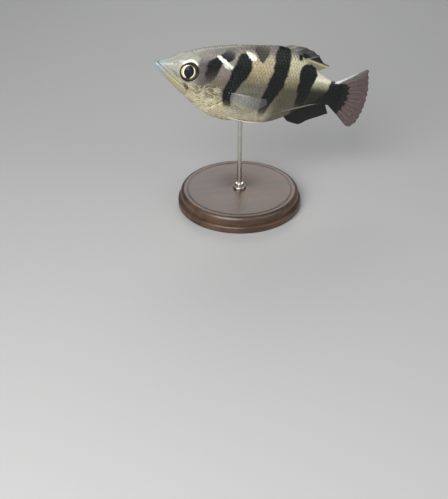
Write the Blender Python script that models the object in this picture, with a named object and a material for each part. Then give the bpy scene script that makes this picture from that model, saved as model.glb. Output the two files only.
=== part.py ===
"""Banded archerfish, life size, head up in mid-water, on a plain display stand.

The fish is modelled along its own axis: X runs from the snout to the tail, Y across it, Z up its
depth. One empty then pitches it head up and lifts it over the stand. All sizes below are in
millimetres, and MM turns them into metres. The world origin is the centre of the base's underside.
"""

import math

import bmesh
import bpy
from mathutils import Vector

MM = 0.001

# Driving sizes of the fish
STANDARD_LENGTH = 102.0
PITCH = math.radians(16.5)
GAP = 0.3
FAR = 40.0

# The outline along the body: distance from the snout, then the height of the line there
BACK_LINE = (
    (0.0, 1.4), (2.5, 2.4), (7.0, 4.4), (12.5, 7.0), (19.0, 10.4), (25.5, 13.3), (32.0, 15.3),
    (38.5, 17.0), (52.0, 19.6), (64.0, 21.4), (71.0, 20.5), (79.0, 17.3), (88.0, 12.6),
    (94.0, 9.3), (98.0, 7.8), (102.0, 7.4),
)
BELLY_LINE = (
    (0.0, -0.3), (1.5, -1.6), (4.0, -3.7), (10.5, -8.3), (16.0, -12.1), (22.0, -16.1),
    (27.0, -19.1), (32.5, -21.6), (38.0, -23.4), (45.0, -24.0), (52.0, -23.0), (60.0, -22.5),
    (66.5, -22.0), (73.0, -19.6), (78.0, -16.6), (84.0, -12.8), (90.0, -9.3), (96.0, -6.9),
    (102.0, -6.4),
)
HALF_WIDTH = (
    (0.0, 1.3), (2.0, 2.2), (6.0, 3.6), (11.0, 5.0), (17.0, 6.3), (25.0, 7.5), (34.0, 8.4),
    (44.0, 8.7), (54.0, 8.4), (64.0, 7.4), (74.0, 5.8), (84.0, 4.1), (94.0, 2.8), (102.0, 2.1),
)
WIDEST_LEVEL = ((0.0, 1.0), (17.0, 2.5), (34.0, -1.0), (54.0, -3.0), (80.0, 0.5), (102.0, 0.5))
# How square the section is over and under its widest level: 2 is an ellipse
BACK_FULLNESS = ((0.0, 2.2), (17.0, 2.7), (34.0, 2.3), (64.0, 1.8), (102.0, 2.0))
BELLY_FULLNESS = ((0.0, 2.2), (17.0, 2.0), (36.0, 2.0), (60.0, 1.9), (102.0, 1.9))

# The brow: the skin swells out over each eye
BROW_STATION = 13.2
BROW_HEIGHT = 6.2
BROW_LENGTH = 3.2
BROW_DEPTH = 2.0
BROW_SWELL = 1.0

BODY_RINGS = 46
RING_POINTS = 28

# The cuts, drawn in side view
MOUTH_CUT = ((-3.0, 4.2), (1.6, 1.75), (9.6, -4.1), (19.3, -8.75))
JAW_CUT = (
    (2.9, 6.0), (3.6, 2.4), (10.2, -2.0), (16.8, -5.6), (19.0, -7.4), (19.3, -9.0), (19.5, -11.2),
    (18.9, -18.0),
)
NAPE_CUT = (
    (30.5, 22.0), (32.5, 15.0), (37.5, 8.0), (38.8, 1.0), (38.2, -7.0), (34.5, -14.5),
    (27.0, -26.0),
)
TAIL_CUT = ((76.5, 26.0), (77.5, 5.0), (76.0, -24.0))

# The gill cover: a plate let into the side of the head
GILL_COVER = (
    (27.2, 5.5), (31.0, 7.6), (36.0, 7.4), (39.2, 4.2), (40.2, -0.5), (39.6, -6.5), (36.8, -11.6),
    (32.4, -14.4), (28.2, -13.0), (25.6, -7.5), (25.4, -0.5),
)
GILL_COVER_INNER = 4.6

# The eyes look outwards and a little forwards
EYE_CENTRE = (17.3, 3.95, 1.2)
EYE_RADIUS = 5.45
EYE_HALF_DEPTH = 3.45
EYE_FORWARD = math.radians(15.0)

# The stand: a turned base and one rod
ROD_STATION = 54.0
ROD_RADIUS = 1.25
ROD_DEPTH_IN_BELLY = 6.0
BELLY_HEIGHT = 50.0
BASE_RADIUS = 34.0
BASE_HEIGHT = 9.0
BASE_CHAMFER = 1.6
COLLAR_RADIUS = 3.6
COLLAR_HEIGHT = 3.2

SKIN = "scaled_skin"
FIN = "fin_membrane"
EYE = "eye"
WOOD = "stand_wood"
METAL = "stand_metal"
COLOURS = {
    SKIN: ((0.55, 0.53, 0.44, 1.0), 0.38, 0.0),
    FIN: ((0.30, 0.29, 0.28, 1.0), 0.35, 0.0),
    EYE: ((0.02, 0.02, 0.03, 1.0), 0.08, 0.0),
    WOOD: ((0.045, 0.022, 0.012, 1.0), 0.35, 0.0),
    METAL: ((0.62, 0.60, 0.56, 1.0), 0.28, 1.0),
}


def along(knots, station):
    """Smooth value at a station, through the knots and with no overshoot between them."""
    if station <= knots[0][0]:
        return knots[0][1]
    if station >= knots[-1][0]:
        return knots[-1][1]
    slopes = [(q[1] - p[1]) / (q[0] - p[0]) for p, q in zip(knots, knots[1:])]
    tangents = [slopes[0]]
    for before, after in zip(slopes, slopes[1:]):
        same_way = before * after > 0
        tangents.append(2 * before * after / (before + after) if same_way else 0.0)
    tangents.append(slopes[-1])
    for i, (start, end) in enumerate(zip(knots, knots[1:])):
        if station <= end[0]:
            span = end[0] - start[0]
            t = (station - start[0]) / span
            rise = t * t * (3 - 2 * t)
            return (
                start[1] * (1 - rise)
                + end[1] * rise
                + span * tangents[i] * t * (1 - t) ** 2
                - span * tangents[i + 1] * t * t * (1 - t)
            )
    return knots[-1][1]


def section(station):
    """Half width, widest level, top and bottom of the body, and its two fullness numbers."""
    return (
        along(HALF_WIDTH, station),
        along(WIDEST_LEVEL, station),
        along(BACK_LINE, station),
        along(BELLY_LINE, station),
        along(BACK_FULLNESS, station),
        along(BELLY_FULLNESS, station),
    )


def ring(station):
    """The body's section at a station, as a closed loop of points."""
    half, level, top, bottom, upper, lower = section(station)
    level = min(max(level, bottom + 0.3 * (top - bottom)), bottom + 0.7 * (top - bottom))
    points = []
    for i in range(RING_POINTS):
        angle = 2 * math.pi * i / RING_POINTS
        c, s = math.cos(angle), math.sin(angle)
        power = 2 / (upper if s >= 0 else lower)
        reach = top - level if s >= 0 else bottom - level
        y = math.copysign(abs(c) ** power, c) * half
        z = level + abs(s) ** power * reach
        points.append(Vector((station, y, z)) + brow(station, y / half, z))
    return points


def brow(station, across, height):
    """How far the swelling over the eye pushes the skin out and up."""
    near = ((station - BROW_STATION) / BROW_LENGTH) ** 2 + ((height - BROW_HEIGHT) / BROW_DEPTH) ** 2
    swell = BROW_SWELL * math.exp(-near) * abs(across)
    return Vector((0.0, math.copysign(swell, across), swell * 0.9))


def flank(station, height):
    """How far out the body's side is at a station and height."""
    half, level, top, bottom, upper, lower = section(station)
    power = upper if height >= level else lower
    share = (height - level) / ((top if height >= level else bottom) - level)
    return half * max(1 - abs(share) ** power, 0.0) ** (1 / power)


def underside(station, across):
    """The height of the belly's surface at a station, this far out from the middle."""
    half, level, _, bottom, _, lower = section(station)
    return level + (bottom - level) * max(1 - abs(across / half) ** lower, 0.0) ** (1 / lower)


def material(name):
    found = bpy.data.materials.get(name)
    if found:
        return found
    made = bpy.data.materials.new(name)
    made.use_nodes = True
    colour, roughness, metallic = COLOURS[name]
    shader = made.node_tree.nodes["Principled BSDF"]
    shader.inputs["Base Color"].default_value = colour
    shader.inputs["Roughness"].default_value = roughness
    shader.inputs["Metallic"].default_value = metallic
    made.diffuse_color = colour
    return made


def solid(name, points, faces, finish=None, parent=None):
    """A closed mesh object from points in millimetres, with its faces turned outwards."""
    mesh = bpy.data.meshes.new(name)
    mesh.from_pydata([Vector(p) * MM for p in points], [], faces)
    shape = bmesh.new()
    shape.from_mesh(mesh)
    bmesh.ops.recalc_face_normals(shape, faces=shape.faces)
    shape.to_mesh(mesh)
    shape.free()
    if finish:
        mesh.materials.append(material(finish))
        mesh.shade_smooth()
        mesh.set_sharp_from_angle(angle=math.radians(40))
    made = bpy.data.objects.new(name, mesh)
    bpy.context.collection.objects.link(made)
    made.parent = parent
    return made


def loft(rings):
    """Points and faces of a tube through the rings, closed by a fan at each end."""
    count = len(rings[0])
    points = [p for loop in rings for p in loop]
    faces = []
    for r in range(len(rings) - 1):
        for i in range(count):
            j = (i + 1) % count
            faces.append((r * count + i, r * count + j, (r + 1) * count + j, (r + 1) * count + i))
    for first, loop in ((0, rings[0]), ((len(rings) - 1) * count, rings[-1])):
        points.append(sum(loop, Vector()) / count)
        middle = len(points) - 1
        faces += [(first + i, first + (i + 1) % count, middle) for i in range(count)]
    return points, faces


def as_cutter(made):
    made.hide_render = True
    made.display_type = "WIRE"
    return made


def prism(name, outline, start, end, parent):
    """A cutter with a side-view outline, from one distance across the body to another."""
    rings = [[Vector((x, y, z)) for x, z in outline] for y in (start, end)]
    count = len(outline)
    faces = [tuple(range(count)), tuple(range(count, 2 * count))]
    faces += [(i, (i + 1) % count, count + (i + 1) % count, count + i) for i in range(count)]
    return as_cutter(solid(name, rings[0] + rings[1], faces, parent=parent))


def slab(name, line, parent):
    """A thin cutter that follows a side-view line right across the body."""
    left, right = [], []
    for i, (x, z) in enumerate(line):
        before = Vector(line[max(i - 1, 0)])
        after = Vector(line[min(i + 1, len(line) - 1)])
        run = (after - before).normalized()
        side = Vector((-run.y, run.x)) * (GAP / 2)
        left.append((x + side.x, z + side.y))
        right.append((x - side.x, z - side.y))
    return prism(name, left + right[::-1], -FAR, FAR, parent)


def grown(outline, by):
    """The outline moved outwards from its middle by about this much."""
    middle = sum((Vector(p) for p in outline), Vector((0, 0))) / len(outline)
    return [tuple(Vector(p) + (Vector(p) - middle).normalized() * by) for p in outline]


def rounded(outline, rounds=2):
    """The closed outline with its corners cut off, so that it reads as a curve."""
    points = [Vector(p) for p in outline]
    for _ in range(rounds):
        cut = []
        for p, q in zip(points, points[1:] + points[:1]):
            cut += [p.lerp(q, 0.25), p.lerp(q, 0.75)]
        points = cut
    return [tuple(p) for p in points]


def boolean(made, operation, cutter):
    step = made.modifiers.new(cutter.name, "BOOLEAN")
    step.operation = operation
    step.solver = "EXACT"
    step.object = cutter


def baked(made):
    """The object's evaluated mesh as a bmesh."""
    bpy.context.view_layer.update()
    seen = made.evaluated_get(bpy.context.evaluated_depsgraph_get())
    shape = bmesh.new()
    shape.from_mesh(seen.to_mesh())
    seen.to_mesh_clear()
    return shape


def islands(shape):
    """The connected pieces of a bmesh, each as a set of its faces."""
    left = set(shape.faces)
    found = []
    while left:
        stack = [left.pop()]
        piece = set(stack)
        while stack:
            for edge in stack.pop().edges:
                for face in edge.link_faces:
                    if face in left:
                        left.remove(face)
                        piece.add(face)
                        stack.append(face)
        found.append(piece)
    return found


def split(made, landmarks, parent):
    """Parts a cut body into its pieces, each named after the landmark nearest its middle."""
    shape = baked(made)
    for piece in islands(shape):
        order = sorted({v for f in piece for v in f.verts}, key=lambda v: v.index)
        place = {v: i for i, v in enumerate(order)}
        points = [v.co / MM for v in order]
        lowest = [min(p[k] for p in points) for k in range(3)]
        highest = [max(p[k] for p in points) for k in range(3)]
        middle = Vector([(a + b) / 2 for a, b in zip(lowest, highest)])
        name = min(landmarks, key=lambda key: (Vector(landmarks[key]) - middle).length)
        faces = [tuple(place[v] for v in f.verts) for f in sorted(piece, key=lambda f: f.index)]
        solid(name, points, faces, SKIN, parent)
    shape.free()
    bpy.data.objects.remove(made)


def ellipsoid(name, side, radius, half_depth, finish, parent):
    """An eye, or the hollow it sits in: flatter across the head than it is wide."""
    columns, rows = 22, 11
    points = [Vector((0, half_depth, 0))]
    for r in range(1, rows):
        polar = math.pi * r / rows
        for c in range(columns):
            turn = 2 * math.pi * c / columns
            flat = radius * math.sin(polar)
            points.append(
                Vector((flat * math.cos(turn), half_depth * math.cos(polar), flat * math.sin(turn)))
            )
    points.append(Vector((0, -half_depth, 0)))
    last = len(points) - 1
    faces = [(0, 1 + c, 1 + (c + 1) % columns) for c in range(columns)]
    for r in range(rows - 2):
        for c in range(columns):
            a, b = 1 + r * columns + c, 1 + r * columns + (c + 1) % columns
            faces.append((a, b, b + columns, a + columns))
    tail = last - columns
    faces += [(last, tail + (c + 1) % columns, tail + c) for c in range(columns)]
    made = solid(name, points, faces, finish, parent)
    x, y, z = EYE_CENTRE
    made.location = Vector((x, y * side, z)) * MM
    made.rotation_euler = (0.0, 0.0, EYE_FORWARD * side)
    return made


def body(parent):
    """The whole body, before it is parted: rings close together at the snout."""
    stations = [STANDARD_LENGTH * (i / (BODY_RINGS - 1)) ** 1.15 for i in range(BODY_RINGS)]
    return solid("body", *loft([ring(s) for s in stations]), SKIN, parent)


def gill_covers(parent):
    """Cuts each gill cover out of a copy of the body, and returns the hollows they leave."""
    outline = rounded(GILL_COVER)
    hollows = []
    for side, word in ((-1, "left"), (1, "right")):
        plate = body(parent)
        inside = prism(f"cut_cover_{word}", outline, side * GILL_COVER_INNER, side * FAR, parent)
        boolean(plate, "INTERSECT", inside)
        split(plate, {f"operculum_{word}": (33.0, side * 6.5, -3.0)}, parent)
        hollows.append(
            prism(
                f"cut_gill_{word}",
                grown(outline, GAP),
                side * (GILL_COVER_INNER - GAP),
                side * FAR,
                parent,
            )
        )
    return hollows


def eyes(parent):
    hollows = []
    for side, word in ((-1, "left"), (1, "right")):
        ellipsoid(f"eye_{word}", side, EYE_RADIUS, EYE_HALF_DEPTH, EYE, parent)
        hollow = ellipsoid(
            f"cut_orbit_{word}", side, EYE_RADIUS + GAP, EYE_HALF_DEPTH + GAP, None, parent
        )
        hollows.append(as_cutter(hollow))
    return hollows


def rod_hole(parent, foot):
    """The hole in the belly that the rod stands in. It is upright while the fish is pitched."""
    radius = ROD_RADIUS + GAP
    rings = []
    for height in (-ROD_DEPTH_IN_BELLY, ROD_DEPTH_IN_BELLY + GAP):
        rings.append(circle((0, 0, height), radius))
    hole = solid("cut_rod", *loft(rings), parent=parent)
    hole.location = foot * MM
    hole.rotation_euler = (0.0, -PITCH, 0.0)
    return as_cutter(hole)


def circle(centre, radius, count=20):
    x, y, z = centre
    turns = [2 * math.pi * i / count for i in range(count)]
    return [Vector((x + radius * math.cos(t), y + radius * math.sin(t), z)) for t in turns]


def flesh(parent, foot):
    """Head, jaws, gill covers, trunk and tail: one body, parted with thin cuts."""
    whole = body(parent)
    cutters = gill_covers(parent) + eyes(parent) + [rod_hole(parent, foot)]
    cutters += [
        slab("cut_mouth", MOUTH_CUT, parent),
        slab("cut_jaw", JAW_CUT, parent),
        slab("cut_nape", NAPE_CUT, parent),
        slab("cut_tail", TAIL_CUT, parent),
    ]
    for cutter in cutters:
        boolean(whole, "DIFFERENCE", cutter)
    landmarks = {
        "head": (19.0, 0.0, -2.0),
        "upper_jaw": (11.0, 0.0, -2.5),
        "lower_jaw": (9.0, 0.0, -6.0),
        "trunk": (55.0, 0.0, -1.0),
        "tail_stalk": (89.0, 0.0, 1.0),
    }
    split(whole, landmarks, parent)


def fin(name, root, edge, rays, thick, ridge, parent, rows=5, wave=0.0):
    """A fin from its root line to its free edge, with a low ridge along each ray.

    root and edge give a point for each place from 0 to 1 along the fin. thick is the thickness at
    the root and at the edge. ridge is how much thicker each ray is than the membrane, as a share.
    """
    columns = 2 * rays - 1
    count = columns * rows
    points = []
    for side in (1, -1):
        for c in range(columns):
            u = c / (columns - 1)
            start, end = root(u), edge(u)
            across = fin_normal(root, edge, u)
            for r in range(rows):
                v = r / (rows - 1)
                half = (thick[0] + (thick[1] - thick[0]) * v ** 0.6) / 2
                if c % 2 == 0:
                    half *= 1 + ridge * (1 - 0.5 * v)
                sway = wave * math.sin(math.pi * (u + v)) * v
                points.append(start.lerp(end, v) + across * (side * half + sway))
    faces = []
    for side in range(2):
        for c in range(columns - 1):
            for r in range(rows - 1):
                a = side * count + c * rows + r
                faces.append((a, a + rows, a + rows + 1, a + 1))
    rim = [c * rows for c in range(columns)]
    rim += [(columns - 1) * rows + r for r in range(1, rows)]
    rim += [c * rows + rows - 1 for c in range(columns - 2, -1, -1)]
    rim += [r for r in range(rows - 2, 0, -1)]
    for a, b in zip(rim, rim[1:] + rim[:1]):
        faces.append((a, b, count + b, count + a))
    return solid(name, points, faces, FIN, parent)


def fin_normal(root, edge, u):
    """The direction square to the fin at this place along it."""
    low, high = max(u - 0.02, 0.0), min(u + 0.02, 1.0)
    along_fin = root(high) + edge(high) - root(low) - edge(low)
    return along_fin.cross(edge(u) - root(u)).normalized()


def curve(points):
    """A smooth line through a few points, as a function of the share of its length."""
    places = [Vector(p) for p in points]
    steps = [(q - p).length for p, q in zip(places, places[1:])]
    total = sum(steps)
    shares = [sum(steps[:i]) / total for i in range(len(places))]
    parts = [tuple((s, p[k]) for s, p in zip(shares, places)) for k in range(3)]
    return lambda u: Vector([along(part, u) for part in parts])


def over_back(start, end):
    """The root line of a fin on the back, between two stations."""
    return lambda u: Vector(
        (start + (end - start) * u, 0, along(BACK_LINE, start + (end - start) * u) + GAP)
    )


def under_belly(start, end):
    """The root line of a fin under the body, between two stations."""
    return lambda u: Vector(
        (start + (end - start) * u, 0, along(BELLY_LINE, start + (end - start) * u) - GAP)
    )


def middle_fins(parent):
    """The folded spiny back fin, the soft back fin, the anal fin and the tail fin."""
    spiny_edge = curve(((68.5, 0, 22.6), (75.5, 0, 22.8), (82.0, 0, 21.7), (87.0, 0, 19.6)))
    fin("dorsal_fin_spiny", over_back(64.5, 78.5), spiny_edge, 5, (1.1, 0.6), 0.45, parent, 4)
    soft_edge = curve(
        ((86.2, 0, 18.9), (88.6, 0, 17.6), (90.0, 0, 16.4), (93.8, 0, 15.1), (93.0, 0, 14.2))
    )
    fin("dorsal_fin_soft", over_back(79.3, 88.2), soft_edge, 12, (1.1, 0.55), 0.22, parent)
    anal_edge = curve(
        ((80.5, 0, -19.2), (87.0, 0, -20.0), (91.5, 0, -17.0), (97.0, 0, -14.0), (102.3, 0, -11.1))
    )
    fin("anal_fin", under_belly(76.8, 98.6), anal_edge, 17, (1.2, 0.55), 0.22, parent, 4)
    end = STANDARD_LENGTH + GAP
    tail_root = curve(((end, 0, 7.0), (end, 0, 2.0), (end, 0, -2.5), (end, 0, -6.0)))
    tail_edge = curve(
        (
            (109.5, 0, 12.6), (116.9, 0, 17.2), (118.9, 0, 13.0), (120.9, 0, 7.5), (122.0, 0, 2.5),
            (122.4, 0, -3.0), (121.8, 0, -9.0), (120.4, 0, -14.0), (117.0, 0, -16.8),
            (109.4, 0, -12.0),
        )
    )
    fin("caudal_fin", tail_root, tail_edge, 17, (2.6, 0.55), 0.14, parent, 6)


def paired_fins(parent):
    """The side fins, laid back along the flank, and the belly fins, folded under the body."""
    for side, word in ((-1, "left"), (1, "right")):
        chest = side_fin_root(side)
        chest_edge = curve(
            [
                (x, side * y, z)
                for x, y, z in (
                    (60.0, 11.8, -4.4), (60.8, 12.0, -6.8), (58.2, 12.1, -9.6),
                    (53.6, 11.8, -11.6), (48.8, 11.0, -12.4),
                )
            ]
        )
        fin(f"pectoral_fin_{word}", chest, chest_edge, 12, (0.9, 0.5), 0.22, parent)
        belly_edge = curve([(57.5, side * 4.0, -21.9), (64.2, side * 2.6, -22.0)])
        fin(f"pelvic_fin_{word}", belly_fin_root(side), belly_edge, 6, (0.9, 0.5), 0.3, parent)


def side_fin_root(side):
    """The root of a side fin: a short sloping line just off the flank, behind the gill cover."""
    top, bottom = (41.2, -5.4), (42.3, -10.0)
    clear = GAP + 0.75

    def root(u):
        x = top[0] + (bottom[0] - top[0]) * u
        z = top[1] + (bottom[1] - top[1]) * u
        return Vector((x, side * (flank(x, z) + clear), z))

    return root


def belly_fin_root(side):
    """The root of a belly fin, just under the belly and beside its middle line."""
    outer, inner = (44.6, 4.2), (47.6, 2.6)
    clear = GAP + 0.5

    def root(u):
        x = outer[0] + (inner[0] - outer[0]) * u
        y = outer[1] + (inner[1] - outer[1]) * u
        return Vector((x, side * y, underside(x, y) - clear))

    return root


def turned(name, profile, finish, count=40):
    """A turned solid from its profile of radius and height, bottom to top."""
    rings = [circle((0, 0, z), r, count) for r, z in profile]
    return solid(name, *loft(rings), finish)


def stand():
    """A round base with eased edges, and one rod with a collar at its foot."""
    eased = [
        (BASE_RADIUS - BASE_CHAMFER * (1 - math.sin(t)), BASE_HEIGHT - BASE_CHAMFER * (1 - math.cos(t)))
        for t in (math.pi / 2, math.pi / 4, 0.0)
    ]
    turned("stand_base", [(BASE_RADIUS - 0.6, 0.0), (BASE_RADIUS, 0.8)] + eased, WOOD)
    foot = BASE_HEIGHT + GAP
    rod_top = BELLY_HEIGHT + ROD_DEPTH_IN_BELLY - GAP
    collar = foot + COLLAR_HEIGHT
    profile = [
        (COLLAR_RADIUS, foot), (COLLAR_RADIUS, foot + 1.2), (COLLAR_RADIUS - 0.5, foot + 1.8),
        (ROD_RADIUS + 0.7, collar - 0.4), (ROD_RADIUS, collar), (ROD_RADIUS, rod_top - 0.3),
        (ROD_RADIUS - 0.3, rod_top),
    ]
    turned("stand_rod", profile, METAL, count=20)


def main():
    for old in list(bpy.data.objects):
        bpy.data.objects.remove(old)
    pose = bpy.data.objects.new("pose", None)
    bpy.context.collection.objects.link(pose)
    foot = Vector((ROD_STATION, 0.0, along(BELLY_LINE, ROD_STATION)))
    x = foot.x * math.cos(PITCH) + foot.z * math.sin(PITCH)
    z = foot.z * math.cos(PITCH) - foot.x * math.sin(PITCH)
    pose.location = Vector((-x, 0.0, BELLY_HEIGHT - z)) * MM
    flesh(pose, foot)
    middle_fins(pose)
    paired_fins(pose)
    stand()
    pose.rotation_euler = (0.0, PITCH, 0.0)


main()
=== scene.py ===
"""Looks of a life-size banded archerfish model, head up over a plain turned stand.

The fish has its own axes, in millimetres: tailward from the snout, across the body, and up its
depth. to_world turns places on them into the frame's metres. One skin covers the head, jaws, gill
covers, trunk and tail stalk, solid scales lie on it, and the fins, eyes and stand are pieces of
their own.
"""

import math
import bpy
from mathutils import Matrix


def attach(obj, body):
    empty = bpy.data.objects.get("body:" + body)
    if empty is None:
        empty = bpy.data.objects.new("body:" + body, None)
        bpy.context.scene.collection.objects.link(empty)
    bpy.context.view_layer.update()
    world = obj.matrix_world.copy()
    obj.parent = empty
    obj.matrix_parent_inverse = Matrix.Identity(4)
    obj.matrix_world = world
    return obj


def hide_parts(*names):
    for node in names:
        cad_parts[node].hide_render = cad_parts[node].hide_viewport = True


bl_info = {
    "name": "Archerfish Model",
    "version": (1, 0, 0),
    "blender": (4, 5, 0),
    "location": "3D View > Sidebar > Archerfish",
    "description": "Scaled skin, rayed fins, eyes and turned stand of a life-size archerfish",
    "category": "Mesh",
}

import bmesh
import bpy
import numpy as np
from bpy.props import FloatProperty, FloatVectorProperty, PointerProperty

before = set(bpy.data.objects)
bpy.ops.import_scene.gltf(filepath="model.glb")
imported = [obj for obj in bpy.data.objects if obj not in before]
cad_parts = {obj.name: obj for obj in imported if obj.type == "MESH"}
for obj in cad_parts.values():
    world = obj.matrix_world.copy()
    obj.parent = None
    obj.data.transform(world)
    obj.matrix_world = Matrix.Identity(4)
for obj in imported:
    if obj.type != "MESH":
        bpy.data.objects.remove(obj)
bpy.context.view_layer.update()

MM = 0.001

# The fish's tilt, where along it the rod meets it, and how high its belly is there
PITCH = math.radians(16.5)
ROD_STATION = 54.0
BELLY_HEIGHT = 50.0

# The body along its length: distance from the snout, then the height of a line there, half the
# width, or how full the section is over or under its widest level, where 2 is an ellipse
BACK_LINE = (
    (0.0, 1.4), (2.5, 2.4), (7.0, 4.4), (12.5, 7.0), (19.0, 10.4), (25.5, 13.3), (32.0, 15.3),
    (38.5, 17.0), (52.0, 19.6), (64.0, 21.4), (71.0, 20.5), (79.0, 17.3), (88.0, 12.6),
    (94.0, 9.3), (98.0, 7.8), (102.0, 7.4), (104.5, 6.9), (106.5, 5.6),
)
BELLY_LINE = (
    (0.0, -0.3), (1.5, -1.6), (4.0, -3.7), (10.5, -8.3), (16.0, -12.1), (22.0, -16.1),
    (27.0, -19.1), (32.5, -21.6), (38.0, -23.4), (45.0, -24.0), (52.0, -23.0), (60.0, -22.5),
    (66.5, -22.0), (73.0, -19.6), (78.0, -16.6), (84.0, -12.8), (90.0, -9.3), (96.0, -6.9),
    (102.0, -6.4), (104.5, -5.9), (106.5, -4.6),
)
HALF_WIDTH = (
    (0.0, 1.3), (2.0, 2.2), (6.0, 3.6), (11.0, 5.0), (17.0, 6.3), (25.0, 7.5), (34.0, 8.4),
    (44.0, 8.7), (54.0, 8.4), (64.0, 7.4), (74.0, 5.8), (84.0, 4.1), (94.0, 2.8), (102.0, 2.0),
    (104.5, 1.2), (106.5, 0.35),
)
WIDEST_LEVEL = ((0.0, 1.0), (17.0, 2.5), (34.0, -1.0), (54.0, -3.0), (80.0, 0.5), (106.5, 0.5))
BACK_FULLNESS = ((0.0, 2.2), (17.0, 2.7), (34.0, 2.3), (64.0, 1.8), (106.5, 2.0))
BELLY_FULLNESS = ((0.0, 2.2), (17.0, 2.0), (36.0, 2.0), (60.0, 1.9), (106.5, 1.9))

# The brow's swelling, how far back the skin and the head's folds go, and the snout's rounding
BROW_PLACE = (13.2, 6.2)
BROW_REACH = (3.2, 2.0)
SKIN_END = 106.5
HEAD_END = 46.0
SNOUT_ROUND = 1.7

# How finely the body's form is worked out: along it, round it, and round each section at first
TABLE_STATIONS = 427
TABLE_SHARES = 241
TABLE_ANGLES = 1441

# The skin's points lie closer near its folds: within each of these distances they are halved again.
# Away from the middle line they stay LEAST_HALF_WIDTH from it. A share of the flat grid under
# ON_EDGE is on its edge, and points nearer than MERGE_DISTANCE, in metres, are one.
FOLD_REACHES = (1.1, 0.6, 0.24)
LEAST_HALF_WIDTH = 0.02
ON_EDGE = 1e-6
MERGE_DISTANCE = 1e-6

# Lines of the head in side view: distance from the snout and height
MOUTH_LINE = ((-3.0, 4.2), (1.6, 1.75), (9.6, -4.1), (18.8, -8.5))
JAW_GROOVE = ((19.0, -8.6), (19.5, -11.2), (18.9, -15.0))
MAXILLA_GROOVE = ((3.6, 2.4), (10.2, -2.0), (16.8, -5.6), (19.2, -7.5), (18.8, -8.5))
CHEEK_PLATE = ((27.0, 7.0), (25.4, 0.0), (25.4, -7.5), (25.6, -11.4), (22.8, -13.2), (19.8, -11.2))
GILL_EDGE = (
    (29.5, 8.2), (33.5, 8.5), (36.8, 7.4), (39.4, 4.2), (40.4, -0.5), (39.8, -6.5), (37.4, -11.9),
    (33.4, -15.6), (28.5, -17.4), (23.0, -15.2),
)
NECK_SCALES = (
    (15.5, 12.0), (19.5, 9.4), (23.6, 4.0), (23.2, -1.5), (19.6, -5.0), (20.2, -12.0),
    (27.0, -22.0),
)
LATERAL_LINE = (
    (39.5, 8.4), (45.0, 11.2), (52.0, 13.0), (60.0, 13.6), (67.0, 12.0), (75.0, 8.6), (83.0, 5.2),
    (92.0, 2.6), (104.0, 0.6),
)

# The nostrils: distance from the snout, height and radius
NOSTRILS = ((10.2, 4.7, 0.42), (8.9, 3.9, 0.32))

# The nodes of flesh that the one skin stands for
FLESH = (
    "head", "upper_jaw", "lower_jaw", "operculum_left", "operculum_right", "trunk", "tail_stalk",
)

# Swellings and grooves beside a line or round a place: how strong, how far from it and how wide
UPPER_LIP = (0.45, 0.75, 0.45)
LOWER_LIP = (1.2, 0.95, 0.6)
UPPER_LIP_GROOVE = (0.5, 1.6, 0.22)
LOWER_LIP_GROOVE = (1.0, 2.1, 0.3)
EYE_SWELLING = (0.24, 0.5, 0.42)
EYE_DIP = (0.1, 1.55, 0.4)
CHEEK_STEP = (0.16, 0.0, 1.2)
CHEEK_RIM = (0.04, 0.0, 0.6)
GILL_RIM = (0.05, 1.3, 0.5)
GILL_LINE = (0.12, 0.0, 0.15)
LOWER_TIP_JUT = (0.35, 0.0, 1.4)
MAXILLA_DIP = (0.3, 0.0, 0.2)
JAW_DIP = (0.3, 0.0, 0.35)
LATERAL_RIDGE = (0.05, 0.0, 0.35)

# Places in side view of the lower jaw's tip and of the plate at the jaws' corner, the width of the
# mouth's slit, the depth of the lips' grooves, and how far the upper jaw's tip is set back
LOWER_TIP = (1.2, 0.3)
UPPER_JAW_PLATE = (16.6, -6.4)
MOUTH_SLIT_WIDTH = 0.2
LIP_GROOVE_DEPTH = 0.12
UPPER_SET_BACK = 0.9

# The eyes look outwards and a little forwards. A place on an eye is tailward and up across its disc,
# and a soft edge is a pair: the distances where it starts and ends. An eye laps under the skin's
# edge by EYE_LAP and lies EYE_TUCK below it there.
EYE_CENTRE = (17.3, 3.95, 1.2)
EYE_RADIUS = 5.45
EYE_HALF_DEPTH = 3.45
EYE_BACK_DEPTH = 3.2
EYE_FORWARD = math.radians(15.0)
EYE_RING_SHIFT = 0.5
EYE_RIM = 5.0
EYE_RIM_CENTRE = (0.4, -0.15)
EYE_LAP = 0.05
EYE_TUCK = 0.12
CORNEA_RADIUS = 4.2
CORNEA_RISE = 0.1
IRIS_CENTRE = (-0.19, -0.13)
IRIS_EDGE = (3.42, 3.7)
IRIS_BRIGHT_EDGE = (3.72, 3.42)
PUPIL_CENTRE = (0.05, 0.24)
PUPIL_SQUEEZE = 1.25
PUPIL_EDGE = (3.08, 3.26)
PUPIL_BLACK_EDGE = (2.3, 2.7)
RIM_CENTRE = (0.4, -0.16)
RIM_SQUEEZE = 1.1
RIM_EDGE = (5.6, 5.2)
# The painted highlight on the rim over the eye: a white crescent
CRESCENT_CENTRE = (0.35, 1.2)
CRESCENT_OUTER_EDGE = (5.2, 4.8)
CRESCENT_INNER_EDGE = (5.1, 5.4)
CRESCENT_REAR_EDGE = (4.3, 3.0)
CRESCENT_LOW_EDGE = (0.6, 2.2)
CRESCENT_LEAN = 0.45
EYE_MAP_WIDTH = 12.0

# Scales: where their rows start and which share of the girth the middle row lies at, how far apart
# the rows and how large the scales are in shares of their spacing, and where they are left out
FIRST_SCALE = 14.0
SCALE_ROWS = 26
MIDDLE_ROW = 0.47
ROW_GAP = 0.98
SCALE_LENGTH = 0.92
SCALE_WIDTH = 0.66
BARE_EYE_REACH = 6.5
BARE_SLIT_REACH = 0.95
BARE_SLIT_PART = (0.08, 0.9)
BARE_END = 0.9

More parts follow.
